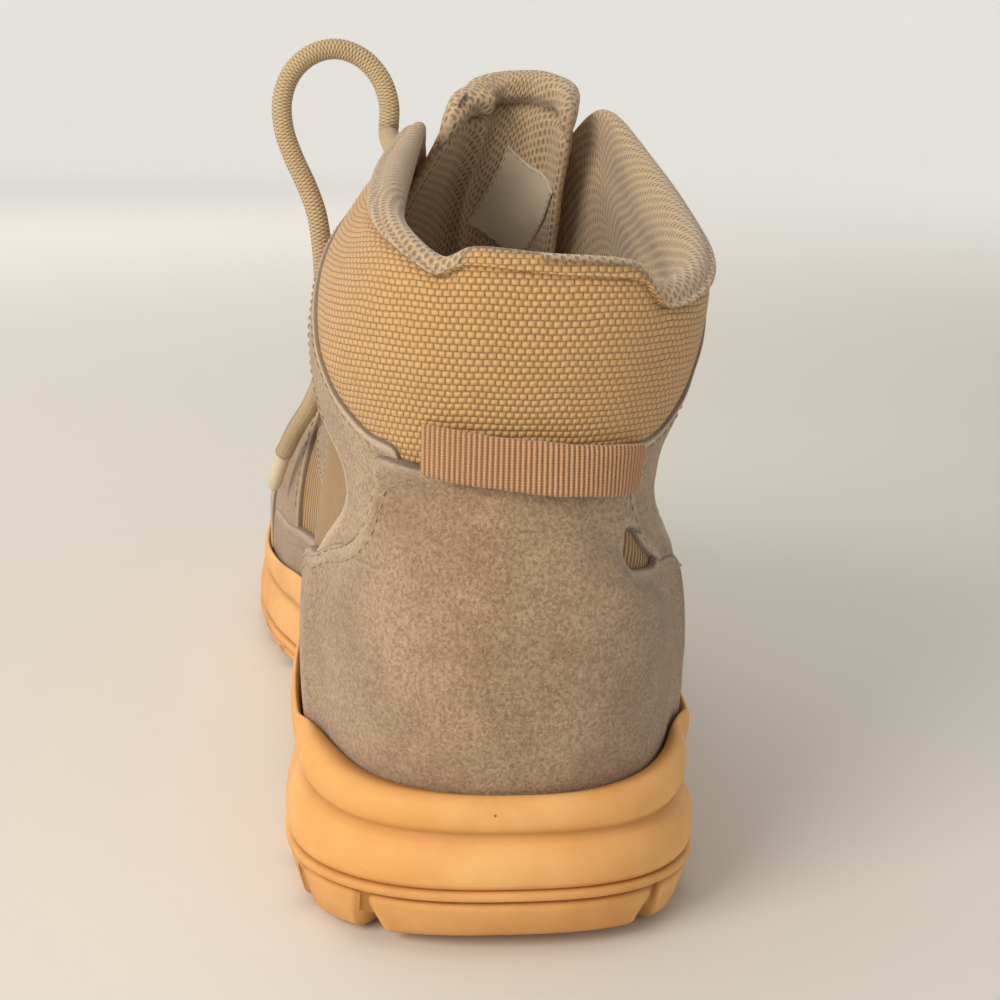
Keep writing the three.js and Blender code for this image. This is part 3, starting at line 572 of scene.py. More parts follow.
def away_from_line(points, line):
    """Distance of each point from a line of points."""
    best = np.full(points.shape[:-1], 1e9)
    for a, b in zip(line[:-1], line[1:]):
        run = b - a
        share = np.clip(((points - a) @ run) / max(float(run @ run), 1e-9), 0, 1)
        best = np.minimum(best, np.linalg.norm(points - a - share[..., None] * run, axis=-1))
    return best


BORDER_S = [0, 15, 20, 29, 34, 41, 60, 95, 130]
BORDER_Z = [92, 94, 97, 103, 109, 115, 125, 138, 150]
PANEL_TUCK = 1.4


def relief(points):
    """Lift of the skin off the form: less under the suede, so that suede and cloth end level."""
    border = np.interp(points[..., 1], BORDER_S, BORDER_Z)
    height = -PANEL_TUCK * (1 - ramp(-3, 4, points[..., 2] - border))
    for line, width, depth in CREASES:
        fine = curve_through(line, 4.0)
        ends = np.minimum(np.linalg.norm(points - fine[0], axis=-1),
                          np.linalg.norm(points - fine[-1], axis=-1))
        near = away_from_line(points, fine)
        height += depth * np.exp(-((near / width) ** 2)) * (0.35 + 0.65 * ramp(0, 2.2 * width, ends))
    return height


# %% [markdown]
# ## One chart for the whole upper
# "around" runs from the toe along the inner side to the heel and back on the outer side, and
# "up" runs from the sole to the opening. A fine grid of surface points is found once; after
# that any place on the boot is read from the grid, which is quick and keeps all pieces in step.

# %% The skin: surface points and outward directions on a fine grid
AROUND = 640
UP = 96
around_grid = np.arange(AROUND) / AROUND
low_edge, high_edge = feather_line(around_grid), opening_line(around_grid)
share_up = (np.arange(1, UP + 1) / UP)[:, None, None]
SKIN = np.concatenate([low_edge[None], on_form(low_edge[None] * (1 - share_up) + high_edge[None] * share_up)])
OUTWARD = outward(SKIN)
SKIN = SKIN + OUTWARD * relief(SKIN)[..., None]
COLUMN = np.linalg.norm(np.diff(SKIN, axis=0), axis=-1).sum(0)
BELT = int(0.8 * UP)
belt_steps = np.linalg.norm(np.roll(SKIN[BELT], -1, 0) - SKIN[BELT], axis=-1)
ARC = np.concatenate([[0], np.cumsum(belt_steps)[:-1]])
ARC -= ARC[AROUND // 2]
print("skin:", SKIN.shape, "girth", round(float(belt_steps.sum())), "mm")


def grid_read(grid, around, up):
    """A value of the grid between its points; around is a ring, up is not."""
    i = np.mod(around, 1.0) * AROUND
    j = np.clip(up, 0, 1) * UP
    i0 = np.floor(i).astype(int) % AROUND
    j0 = np.minimum(np.floor(j).astype(int), UP - 1)
    fi, fj = (i - np.floor(i)), (j - j0)
    i1 = (i0 + 1) % AROUND
    if grid.ndim == 3:
        fi, fj = fi[..., None], fj[..., None]
    return ((grid[j0, i0] * (1 - fi) + grid[j0, i1] * fi) * (1 - fj)
            + (grid[j0 + 1, i0] * (1 - fi) + grid[j0 + 1, i1] * fi) * fj)


def skin(around, up, off=0.0):
    """A point on the boot at a place of the chart, lifted off the skin by off."""
    out = unit(grid_read(OUTWARD, around, up))
    return grid_read(SKIN, around, up) + out * np.broadcast_to(off, np.shape(around))[..., None]


def chart(point):
    """The chart place (around, up) of a point on or near the boot."""
    point = np.asarray(point, float)
    gap = np.linalg.norm(SKIN - point, axis=-1)
    j, i = np.unravel_index(int(gap.argmin()), gap.shape)
    a, u = i / AROUND, j / UP
    for _ in range(4):
        here = skin(np.array([a]), np.array([u]))[0]
        da, du = 0.5 / AROUND, 0.5 / UP
        u2 = u + du if u + du <= 1 else u - du
        along = (skin(np.array([a + da]), np.array([u]))[0] - here) / da
        rise = (skin(np.array([a]), np.array([u2]))[0] - here) / (u2 - u)
        move = np.linalg.lstsq(np.stack([along, rise], 1), point - here, rcond=None)[0]
        a = a + float(np.clip(move[0], -2 / AROUND, 2 / AROUND))
        u = float(np.clip(u + np.clip(move[1], -2 / UP, 2 / UP), 0, 1))
    return a % 1.0, u


# %% [markdown]
# ## The shell: woven cloth outside, spacer mesh inside
# Outside, a coarse golden cloth covers the ankle and a finer ribbed cloth fills the quarters.
# The mesh lining comes up from the inside, rolls over the edge and is sewn down outside it: a
# thin line at the back, a thick soft roll at the sides. The shell is one closed body, and each
# column of it goes up the outside, over the edge and down the inside.

# %% Profile of the shell
WALL = 2.6
COLLAR_PAD = 6.0
OUT_ROWS = 84
ROLL_ROWS = 10
IN_ROWS = 46
columns = np.arange(AROUND) / AROUND
shell_side, shell_along = side_and_along(columns)
at_collar = ramp(0.62, 0.72, shell_along)
at_back = ramp(0.905, 0.945, shell_along)
# how much of the outside the lining covers, in millimetres below the edge
lip_width = np.where(shell_side < 0, 1.7, 2.2) * (1 - 0.8 * ramp(0.85, 0.9, shell_along))
LIP = 0.6 + at_collar * (1 - at_back) * lip_width


def wall_at(along, up):
    pad = ramp(0.66, 0.8, along) * ramp(0.45, 0.7, up) * (1 - 0.35 * ramp(0.93, 1, up))
    return WALL + COLLAR_PAD * pad


edge_wall = wall_at(shell_along, 1.0)
EDGE_R = edge_wall / 2
EDGE_UP = 1 - (EDGE_R + 0.2) / COLUMN
LIP_UP = EDGE_UP - LIP / COLUMN
rows = []
bulge = 1.0 * at_collar * (1 - at_back) + 0.3
for j in range(OUT_ROWS + 1):
    t = j / OUT_ROWS
    up = LIP_UP * (1 - (1 - t) ** 1.35)
    near_seam = np.exp(-(((LIP_UP - up) * COLUMN / 1.3) ** 2))
    rows.append(skin(columns, up, -0.9 * near_seam * at_collar))
for j in range(1, 8):
    t = j / 7
    up = LIP_UP + (EDGE_UP - LIP_UP) * t
    rows.append(skin(columns, up, bulge * math.sin(math.pi * min(t * 0.9 + 0.1, 1.0)) ** 0.7))
edge = skin(columns, EDGE_UP)
edge_out = unit(grid_read(OUTWARD, columns, EDGE_UP))
edge_up = unit(edge - skin(columns, EDGE_UP - 4.0 / COLUMN))
edge_up = unit(edge_up - edge_out * (edge_up * edge_out).sum(-1, keepdims=True))
for j in range(1, ROLL_ROWS):
    turn = math.pi * j / ROLL_ROWS
    rows.append(edge + edge_out * ((math.cos(turn) - 1) * EDGE_R)[:, None]
                + edge_up * (math.sin(turn) * EDGE_R)[:, None])
for j in range(IN_ROWS + 1):
    up = EDGE_UP * (1 - j / IN_ROWS)
    rows.append(skin(columns, up, -wall_at(shell_along, up)))
shell_rows = np.stack(rows)
# At the back the cloth is carried up over the edge, further on the inner half, to a shallow seam.
LIP_ROWS = 7
cloth_top = np.round(OUT_ROWS + at_back * (LIP_ROWS + np.where(shell_side < 0, 4, 2))).astype(int)
# where the lining's lip meets the cloth round the collar: a shallow groove at the back, and painted shade
# along the seam
seam_groove_and_shade = np.exp(-((np.arange(len(shell_rows))[:, None] - cloth_top) / 0.9) ** 2)
seam_groove_and_shade *= at_collar
shell_out = np.concatenate([np.broadcast_to(edge_out, (OUT_ROWS + 1 + LIP_ROWS, AROUND, 3)),
                            np.zeros((len(rows) - OUT_ROWS - 1 - LIP_ROWS, AROUND, 3))])
shell_rows = shell_rows - (shell_out * (0.35 * seam_groove_and_shade * at_back)[..., None])
row_steps = np.linalg.norm(np.diff(shell_rows, axis=0), axis=-1)
travel = np.concatenate([np.zeros((1, AROUND)), np.cumsum(row_steps, 0)])
print("shell rows:", shell_rows.shape)

# %% [markdown]
# ## Finishes of the cloth parts
# The woven cloth is a plain weave of thick yarns. Each yarn shows as a small round arch, and
# every second row is moved by half an arch; painted shade darkens the gaps between the yarns. The
# lining is a spacer mesh: soft beige knit with rows of small upright holes, with painted shade in
# the holes. Both patterns are measured in the cloth's own millimetres, so the yarns keep their real size.

# %% Woven cloth, ribbed cloth and mesh lining


def woven_cloth():
    r = Recipe("woven_nylon", 0.82, sheen=0.25)
    u, v = r.cloth()
    wobble = r.math("MULTIPLY", r.math("SUBTRACT", r.noise(9, 1.0), 0.5), 0.9)
    v = r.math("DIVIDE", r.math("ADD", v, wobble), 1.27)
    odd = r.math("MULTIPLY", r.math("FLOORED_MODULO", r.math("FLOOR", v), 2.0), 0.5)
    u = r.math("ADD", r.math("DIVIDE", r.math("ADD", u, wobble), 1.6), odd)
    fu = r.math("SUBTRACT", r.math("FRACT", u), 0.5)
    fv = r.math("SUBTRACT", r.math("FRACT", v), 0.5)
    arch_u = r.math("SUBTRACT", 1.0, r.math("MULTIPLY", r.math("MULTIPLY", fu, fu), 4.0))
    arch_v = r.math("SUBTRACT", 1.0, r.math("MULTIPLY", r.math("MULTIPLY", fv, fv), 4.0))
    height = r.math("MULTIPLY", r.math("POWER", arch_u, 0.8), r.math("POWER", arch_v, 0.75))
    fibre = r.noise(0.45, 2.0, stretch=(1, 1, 1))
    light = r.mix(r.noise(28, 2.0), paint(212, 168, 110), paint(222, 180, 124))
    yarn = r.mix(r.step(fibre, 0.3, 0.75), r.mix(0.3, light, paint(186, 138, 80)), light)
    # painted shade: the yarn colour darkens into the gaps between the arches
    yarn = r.mix(r.step(height, 0.02, 0.55), paint(160, 118, 70), yarn)
    yarn = r.mix(r.step(r.noise(5.5, 2.0, 0.6), 0.5, 0.8, 0.0, 0.3), yarn, paint(178, 136, 84))
    # painted shade along the seam groove
    r.colour(r.mix(r.math("MULTIPLY", r.attribute("seam"), 0.75), yarn, paint(104, 76, 46)))
    r.bump(height, 0.55, 0.9)
    r.bump(fibre, 0.12, 0.7)
    return r


def ribbed_cloth():
    r = Recipe("ribbed_nylon", 0.8, sheen=0.2)
    u, v = r.cloth()
    wave = r.math("SINE", r.math("MULTIPLY", u, 2 * math.pi / 1.7))
    height = r.math("MULTIPLY_ADD", wave, 0.5, 0.5)
    cross = r.math("MULTIPLY_ADD", r.math("SINE", r.math("MULTIPLY", v, 2 * math.pi / 0.8)), 0.5, 0.5)
    light = r.mix(r.noise(14, 2.0), paint(196, 158, 104), paint(182, 144, 92))
    # painted shade: darker in the valleys between the ribs
    r.colour(r.mix(r.step(height, 0.05, 0.7), paint(118, 88, 52), light))
    r.bump(height, 0.45, 0.9)
    r.bump(cross, 0.1, 0.5)
    return r


def mesh_lining():
    r = Recipe("lining_mesh", 0.9, sheen=0.35)
    u, v = r.cloth()
    column = r.math("DIVIDE", u, 1.25)
    odd = r.math("MULTIPLY", r.math("FLOORED_MODULO", r.math("FLOOR", column), 2.0), 0.5)
    row = r.math("ADD", r.math("DIVIDE", v, 2.2), odd)
    fu = r.math("MULTIPLY", r.math("SUBTRACT", r.math("FRACT", column), 0.5), 1.25 / 0.36)
    fv = r.math("MULTIPLY", r.math("SUBTRACT", r.math("FRACT", row), 0.5), 2.2 / 0.68)
    far = r.math("SQRT", r.math("ADD", r.math("MULTIPLY", fu, fu), r.math("MULTIPLY", fv, fv)))
    solid = r.step(far, 0.5, 1.5)
    fuzz = r.noise(0.5, 2.0)
    knit = r.mix(r.step(fuzz, 0.3, 0.75), paint(184, 158, 126), paint(208, 184, 152))
    knit = r.mix(r.step(r.noise(22, 2.0), 0.35, 0.8, 0.0, 0.35), knit, paint(196, 170, 136))
    # painted shade: darker in the holes of the mesh
    knit = r.mix(solid, paint(150, 126, 96), knit)
    # painted shade along the seam groove
    r.colour(r.mix(r.math("MULTIPLY", r.attribute("seam"), 0.75), knit, paint(96, 72, 50)))
    r.bump(solid, 0.4, 0.8)
    r.bump(fuzz, 0.14, 0.7)
    return r


WOVEN, RIBBED, LINING = woven_cloth(), ribbed_cloth(), mesh_lining()

# %% [markdown]
# ## Suede
# Suede is the rough side of leather: a short nap of fibres. Close up it is a mat of light and
# dark specks about half a millimetre wide, under slow changes of tone where the nap has been
# brushed or worn. A mark stored on each panel says how far a point is from the cut edge, so the
# edge can be darker, as a cut edge is, with painted shade where the panel steps down to the
# layer below, and the turned rim just inside it a little lighter from wear.

# %% Suede with nap, patches and worn edges


def suede(name, light, dark, worn=0.35):
    r = Recipe(name, 0.95, sheen=0.35, specular=0.2)
    nap = r.noise(0.8, 4.0, 0.8)
    specks = r.noise(0.5, 2.0, 0.6, seed=3.0)
    patches = r.noise(17, 3.0, 0.6, seed=7.0)
    streaks = r.noise(6, 2.0, 0.5, stretch=(1.0, 1.0, 2.2), seed=11.0)
    base = r.mix(r.step(patches, 0.34, 0.66), dark, light)
    base = r.mix(r.step(streaks, 0.4, 0.75, 0.0, 0.4), base, light)
    base = r.mix(r.step(nap, 0.36, 0.62, 0.7, 0.0), base, paint(120, 94, 72))
    base = r.mix(r.step(specks, 0.54, 0.74, 0.0, 0.5), base, paint(218, 196, 170))
    edge = r.attribute("edge")
    base = r.mix(r.step(edge, 3.2, 0.7, 0.0, worn), base, paint(226, 208, 184))
    # darker cut edge: partly the cut leather's own colour, partly painted shade where the panel steps down to
    # the layer below
    base = r.mix(r.step(edge, 0.8, 0.15, 0.0, 0.8), base, paint(104, 80, 58))
    r.colour(base)
    r.bump(patches, 0.8, 0.25)
    r.bump(nap, 0.75, 0.9)
    r.bump(specks, 0.22, 0.7)
    return r


SUEDE = suede("suede", paint(198, 168, 137), paint(174, 144, 114))
SUEDE_PALE = suede("suede_rubbed", paint(206, 178, 146), paint(180, 152, 121), worn=0.6)

# %% Close the shell and give each part of it its cloth
shell_z = shell_rows[:OUT_ROWS + 1, :, 2]
waist_run = np.array([np.interp(100.0, np.maximum.accumulate(shell_z[:, c]), travel[:OUT_ROWS + 1, c])
                      for c in range(AROUND)])
cloth_v = travel - waist_run
shell_cloth = np.stack([np.broadcast_to(ARC, travel.shape), cloth_v], -1).reshape(-1, 2)
row_count = len(shell_rows)
shell_faces, shell_kinds = [], []
for j in range(row_count):
    k = (j + 1) % row_count
    for i in range(AROUND):
        n = (i + 1) % AROUND
        shell_faces.append((j * AROUND + i, j * AROUND + n, k * AROUND + n, k * AROUND + i))
        x, s, z = shell_rows[j, i]
        if j >= cloth_top[i]:
            shell_kinds.append(2 if shell_along[i] > 0.6 or j > OUT_ROWS + LIP_ROWS + ROLL_ROWS else 3)
        elif shell_along[i] < 0.56 or z < np.interp(s, BORDER_S, BORDER_Z):
            shell_kinds.append(1)
        else:
            shell_kinds.append(0)
edge_mark = np.full(row_count * AROUND, 9.0)
piece("upper_shell", shell_rows.reshape(-1, 3), shell_faces, WOVEN,
      cloth=shell_cloth, marks={"edge": edge_mark, "seam": seam_groove_and_shade.ravel()}, stands_for=["upper"],
      face_kinds=shell_kinds, materials=[WOVEN, RIBBED, LINING, SUEDE])

# %% [markdown]
# ## Sewn panels
# A suede panel is cut flat and sewn on, so it stands a little proud with a rounded cut edge.
# Each panel is drawn as an outline of places on the boot. The outline is filled with a mesh of
# even triangles in the chart, then laid on the skin: its rim dips to the skin and its middle
# stands off by the leather's thickness. A second layer below closes it into a real solid.

# %% Fill an outline with even triangles, then lay it on the skin
CHART_MM = np.array([760.0, 116.0])
thread_parts = []


def inside(points, loop):
    x, y = points[:, 0:1], points[:, 1:2]
    ax, ay = loop[:, 0], loop[:, 1]
    bx, by = np.roll(ax, -1), np.roll(ay, -1)
    crosses = ((ay > y) != (by > y)) & (x < (bx - ax) * (y - ay) / (by - ay + 1e-12) + ax)
    return crosses.sum(1) % 2 == 1


def gap_to_loops(points, loops):
    best = np.full(len(points), 1e9)
    for loop in loops:
        for a, b in zip(loop, np.roll(loop, -1, 0)):
            run = b - a
            share = np.clip(((points - a) @ run) / max(float(run @ run), 1e-12), 0, 1)
            best = np.minimum(best, np.linalg.norm(points - a - share[:, None] * run, axis=1))
    return best


def flat_loop(places, spacing=1.3):
    """Outline places, each (across, station, height) on the boot, as an even loop in the chart."""
    flat = np.array([chart(p) for p in places]) * CHART_MM
    for i in range(1, len(flat)):  # keep the loop in one piece where it passes the toe
        flat[i, 0] -= round((flat[i, 0] - flat[i - 1, 0]) / CHART_MM[0]) * CHART_MM[0]
    return curve_through(flat, spacing, closed=True)


def inset(loop, by):
    """The loop moved inwards, as loose points."""
    run = unit(np.roll(loop, -1, 0) - np.roll(loop, 1, 0))
    left = np.stack([-run[:, 1], run[:, 0]], 1)
    moved = loop + left * by
    if inside(moved, loop).mean() < 0.5:
        moved = loop - left * by
    return moved


def panel(name, outline, recipe, thick=1.3, holes=(), spacing=1.7, base=0.0, stitches=(),
          stands_for=(), swell=None, rim=1.3):
    loop = flat_loop(outline)
    hole_loops = [flat_loop(h, 0.9) for h in holes]
    loops = [loop, *hole_loops]
    low, high = loop.min(0), loop.max(0)
    grid_x = np.arange(low[0], high[0], spacing)
    grid_y = np.arange(low[1], high[1], spacing * 0.866)
    gx, gy = np.meshgrid(grid_x, grid_y)
    gx = gx + (np.arange(len(grid_y)) % 2)[:, None] * spacing / 2
    fill = np.stack([gx.ravel(), gy.ravel()], 1)

    def within(points):
        keep = inside(points, loop)
        for hole in hole_loops:
            keep &= ~inside(points, hole)
        return keep

    fill = fill[within(fill)]
    fill = fill[gap_to_loops(fill, loops) > 1.9]
    rims = []
    for depth in (0.3, 0.75, 1.35):
        for which, line in enumerate(loops):
            moved = inset(line, depth if which == 0 else -depth)
            if which:
                moved = line * 2 - inset(line, depth)
            moved = moved[within(moved)]
            rims.append(moved[gap_to_loops(moved, loops) > depth * 0.9])
    points = np.concatenate([*loops, *rims, fill])
    edges, start = [], 0
    for line in loops:
        count = len(line)
        edges += [(start + i, start + (i + 1) % count) for i in range(count)]
        start += count
    made = delaunay_2d_cdt([Vector(p) for p in points], edges, [], 0, 1e-5)
    flat = np.array([tuple(v) for v in made[0]])
    triangles = np.array([f for f in made[2] if len(f) == 3])
    triangles = triangles[within(flat[triangles].mean(1))]
    used = np.unique(triangles)
    number = np.full(len(flat), -1)
    number[used] = np.arange(len(used))
    flat, triangles = flat[used], number[triangles]
    from_edge = gap_to_loops(flat, loops)
    height = thick * np.sqrt(np.clip(1 - (1 - np.clip(from_edge / rim, 0, 1)) ** 2, 0, 1))
    places = flat / CHART_MM
    if swell is not None:
        height = height + swell(skin(places[:, 0], places[:, 1]), from_edge)
    top = skin(places[:, 0], places[:, 1], base + height - 0.05)
    bottom = skin(places[:, 0], places[:, 1], np.full(len(flat), -0.35))
    count = len(flat)
    faces = [tuple(t) for t in triangles] + [tuple(t[::-1] + count) for t in triangles]
    seen = {}
    for t in triangles:
        for a, b in ((t[0], t[1]), (t[1], t[2]), (t[2], t[0])):
            seen[(min(a, b), max(a, b))] = None if (min(a, b), max(a, b)) in seen else (a, b)
    faces += [(b, a, a + count, b + count) for a, b in (e for e in seen.values() if e)]
    marks = {"edge": np.concatenate([from_edge, from_edge])}
    cloth = np.concatenate([flat, flat])
    made = piece(name, np.concatenate([top, bottom]), faces, recipe, cloth=cloth, marks=marks,
                 stands_for=stands_for)
    for line in stitches:
        sew(line, base + thick)
    return made


def sew(places, off, pitch=2.8, length=1.9, radius=0.22):
    """Stitches along places on the boot, each a short plump thread that dips at both ends."""
    flat = np.array([chart(p) for p in places]) * CHART_MM
    for i in range(1, len(flat)):
        flat[i, 0] -= round((flat[i, 0] - flat[i - 1, 0]) / CHART_MM[0]) * CHART_MM[0]
    fine = curve_through(flat, 0.5) / CHART_MM
    on_skin = skin(fine[:, 0], fine[:, 1], off)
    run = np.concatenate([[0], np.cumsum(np.linalg.norm(np.diff(on_skin, axis=0), axis=1))])
    for begin in np.arange(0.5, run[-1] - length, pitch):
        at = np.linspace(begin, begin + length, 5)
        a = np.interp(at, run, fine[:, 0])
        u = np.interp(at, run, fine[:, 1])
        lift = np.array([-0.3, 0.14, 0.24, 0.14, -0.3])
        path = skin(a, u, off + lift)
        thread_parts.append(tube_mesh(path, radius * np.array([0.6, 1.0, 1.0, 1.0, 0.6]), 5))


def mirror(places):
    return [(-x, s, z) for x, s, z in places]

# %% [markdown]
# ## Heel counter
# The big rear panel wraps the heel from seam to seam. It runs under the sole's rim, so its lower
# edge is hidden. On the inner side its top corner is turned over into a thick lip. On the outer
# side the wearer's foot has pulled it open above a pucker: a small gap shows the ribbed cloth.

# %% Heel counter and the low band of suede along the foot
COUNTER = [
    (0, 7, 93.5), (-13, 9, 94.5), (-24, 15, 95), (-29, 19, 94), (-30, 20, 88), (-32, 23, 79),
    (-38, 36, 73), (-38, 60, 66), (-37, 90, 56), (-38, 120, 48), (-41, 150, 43), (-46, 174, 40),
    (-49, 196, 38), (-49, 200, 32), (-47, 200, 22), (-43, 170, 22), (-36, 120, 25), (-36, 70, 27),
    (-36, 24, 26), (-22, 8, 26), (0, 3, 26), (22, 8, 26), (36, 24, 26), (38, 70, 27), (38, 120, 25),
    (46, 170, 22), (51, 200, 22), (53, 200, 32), (52, 196, 38), (49, 174, 40), (43, 150, 43),
    (40, 120, 48), (38, 90, 56), (38, 60, 64), (38, 42, 69), (35, 29, 73), (30, 20, 80), (27, 17, 87),
    (23, 14, 92), (13, 9, 93.5),
]
GAP = [(24, 13, 81.5), (28, 17, 81), (32.5, 23, 76.5), (32, 22, 73.2), (27.5, 16.5, 72.6), (23.5, 13, 76.5)]


def counter_swell(points, from_edge):
    """The turned lip on the inner side and the raised rim round the outer gap."""
    lip_line = np.array([(-22, 13, 94.0), (-28, 18, 93.5), (-30, 20, 88.0), (-32, 23, 80.0)])
    lip = away_from_line(points, lip_line)
    gap_rim = away_from_line(points, np.array(GAP + GAP[:1], float))
    return 2.6 * np.exp(-((lip / 2.6) ** 2)) + 1.1 * np.exp(-((gap_rim / 2.2) ** 2))


panel(
    "heel_counter_suede", COUNTER, SUEDE, thick=1.4, holes=[GAP], base=0.55, swell=counter_swell,
    stands_for=["heel_counter"], stitches=[
        [(-25, 16, 92.5), (-28, 19, 90.5), (-29, 20, 86), (-30, 21, 81), (-34, 27, 75.5), (-38, 38, 70.5),
         (-38, 60, 63.5), (-37, 90, 53.5), (-38, 120, 45.5), (-41, 150, 40.5), (-46, 174, 37.5)],
        [(-22, 13, 90.5), (-26, 17, 88.5), (-27, 18, 84), (-28, 19, 79), (-32, 25, 73), (-38, 38, 68),
         (-38, 60, 61), (-37, 90, 51), (-38, 120, 43), (-41, 150, 38), (-46, 174, 35)],
        [(24, 15, 89), (26, 17, 84), (29, 20, 77), (34, 29, 70.5), (38, 42, 66.5), (38, 60, 61.5),
         (38, 90, 53.5), (40, 120, 45.5), (43, 150, 40.5), (49, 174, 37.5)],
    ])

# %% [markdown]
# ## Straps, eyestays and the overlays of the quarter
# From the heel a narrow strap of rubbed suede borders the woven cloth and runs up to the lacing.
# The eyestay carries the eyelets down both sides of the throat, with a thumb-shaped tab that
# reaches back over the ribbed cloth. Both sides of the boot use the same pattern, mirrored.

# %% Strap along the woven cloth
STRAP = [
    (-24, 15, 97), (-31, 21, 99.5), (-38, 31, 107), (-42, 41, 116.5), (-41, 60, 126.5), (-37, 92, 138.5),
    (-32, 114, 146.5), (-29, 122, 139), (-36, 100, 128), (-40, 70, 112), (-39, 50, 99), (-37, 38, 92),
    (-36, 34, 84), (-38, 42, 73), (-37, 54, 66), (-36, 60, 60), (-37, 48, 60), (-36, 34, 66),
    (-33, 25, 73), (-27, 18, 80), (-24, 15, 90),
]
STRAP_STITCH = [
    (-27, 18, 95.5), (-34, 27, 100), (-39, 37, 108.5), (-41, 50, 117), (-39, 80, 129.5), (-34, 106, 138.5),
]
STRAP_STITCH_2 = [(-37, 40, 97), (-39, 56, 107), (-39, 74, 118), (-37, 98, 130.5), (-33, 113, 137)]
panel("strap_medial", STRAP, SUEDE_PALE, thick=1.2, stitches=[STRAP_STITCH, STRAP_STITCH_2])
panel("strap_lateral", mirror(STRAP), SUEDE_PALE, thick=1.2,
      stitches=[mirror(STRAP_STITCH), mirror(STRAP_STITCH_2)])

# %% Eyestays with their thumb-shaped tabs
EYESTAY = [
    (-22, 128, 148.5), (-20.5, 137, 132), (-19.5, 148, 115.5), (-18, 166, 101), (-16.5, 184, 91),
    (-14, 196, 86), (-8, 203.5, 83.6), (0, 207, 81.5), (0, 219, 75), (-14, 216, 76), (-25, 206, 79),
    (-31, 192, 82), (-36, 176, 84), (-41, 164, 76), (-42, 150, 64), (-39, 134, 60), (-37, 122, 67),
    (-36, 118, 78), (-37, 128, 88), (-34, 136, 97), (-33, 130, 112), (-33, 118, 126), (-32, 110, 138),
    (-29, 113, 150), (-26, 118, 152),
]
EYESTAY_STITCHES = [
    [(-25, 124, 147), (-24, 133, 131), (-23, 144, 116), (-21.5, 163, 103), (-20, 182, 93), (-17, 196, 87.5),
     (-9, 206, 84), (0, 209.5, 80.5)],
    [(-31, 113, 139), (-31, 120, 127), (-31, 132, 112), (-32, 138, 99), (-35, 131, 88), (-35, 121, 78),
     (-37, 125, 68), (-39, 135, 62.5), (-41, 149, 66), (-40, 162, 77), (-34, 175, 86), (-29, 191, 84),
     (-23, 204, 81), (-13, 213.5, 78), (0, 216.5, 76.5)],
]
for word, flip in (("medial", False), ("lateral", True)):
    turned = mirror if flip else list
    panel(f"eyestay_{word}", turned(EYESTAY), SUEDE, thick=1.3, base=0.25,
          stitches=[turned(line) for line in EYESTAY_STITCHES])

# %% [markdown]
# ## Toe and vamp
# The front of the boot is a suede vamp with a second layer over the toe, where boots wear most.
# The vamp's flex creases come from the skin below it.

# %% Vamp, toe cap and the small side window between them
VAMP = [
    (0, 214, 77), (-14, 213, 77.5), (-25, 204, 80), (-32, 190, 82), (-38, 176, 80), (-43, 166, 71),
    (-45, 165, 58), (-45, 165, 45), (-44, 165, 34), (-44, 168, 22), (-48, 200, 20), (-49, 225, 20),
    (-42, 255, 20), (-30, 278, 21), (-9, 291, 22), (14, 280, 21), (32, 262, 20), (45, 235, 20),
    (51, 205, 20), (47, 168, 22), (47, 165, 34), (48, 165, 45), (48, 165, 58), (46, 166, 71),
    (40, 176, 80), (34, 190, 82), (27, 204, 80), (14, 213, 77.5),
]
panel("vamp_suede", VAMP, SUEDE, thick=1.3, base=0.1, stitches=[
    [(-40, 174, 78), (-43, 169, 70), (-45, 168, 58), (-45, 168, 46)],
    [(42, 174, 78), (46, 169, 70), (48, 168, 58), (48, 168, 46)],
])
TOE_CAP = [
    (-3, 240, 68.5), (-20, 239, 66.5), (-34, 233, 60), (-43, 220, 52), (-48, 203, 44), (-48, 201, 34),
    (-48, 203, 22), (-49, 225, 20), (-42, 255, 20), (-30, 278, 21), (-9, 291, 22), (14, 280, 21),
    (32, 262, 20), (45, 235, 20), (51, 205, 22), (52, 201, 34), (52, 203, 44), (47, 220, 52), (36, 233, 60),
    (16, 240, 66.5),
]
panel("toe_cap_suede", TOE_CAP, SUEDE_PALE, thick=1.3, base=1.2, stitches=[
    [(-3, 243, 68), (-20, 242, 65.5), (-35, 235.5, 58.5), (-44, 222, 50), (-48, 206, 42)],
    [(-3, 243, 68), (16, 243, 65.5), (37, 235.5, 58.5), (48, 222, 50), (52, 206, 42)],
    [(-3, 246, 67.4), (-20, 245, 64.5), (-36, 237.5, 57), (-45, 224, 48.5), (-48, 208, 40)],
    [(-3, 246, 67.4), (16, 246, 64.5), (38, 237.5, 57), (49, 224, 48.5), (53, 208, 40)],
])

# %% [markdown]
# ## Pull band
# A strip of ribbed webbing runs across the back, just above the counter, and bows out between
# its ends. Its ribs are real: the strip is a fine grid whose surface rises and falls about once
# a millimetre. Both ends are cut square. A real strip is sewn down there; this one ends about a
# millimetre off the boot and has no stitches.

# %% Ribbed webbing strip
BAND_HALF = 5.0
BAND_THICK = 1.1
BAND_LENGTH = 47.0
BAND_REACH = 0.39  # radians round the heel, from the middle to each end
BAND_TURN = 0.06  # radians that its middle lies towards the outer side
BAND_HEIGHT = 96.2
BAND_FALL = 2.4  # how far each end lies above or below the middle


def heel_point(angle, z, off):
    """A point round the back of the leg, by its angle from straight back."""
    centre = read_row(LEG, z)[..., 0]
    start = np.stack([centre, 0 * z + LEG_MIDDLE_S + 12, z], -1)
    ray = np.stack([np.sin(angle), -np.cos(angle), 0 * z], -1)
    return cast(start, ray) + ray * np.broadcast_to(off, np.shape(z))[..., None]


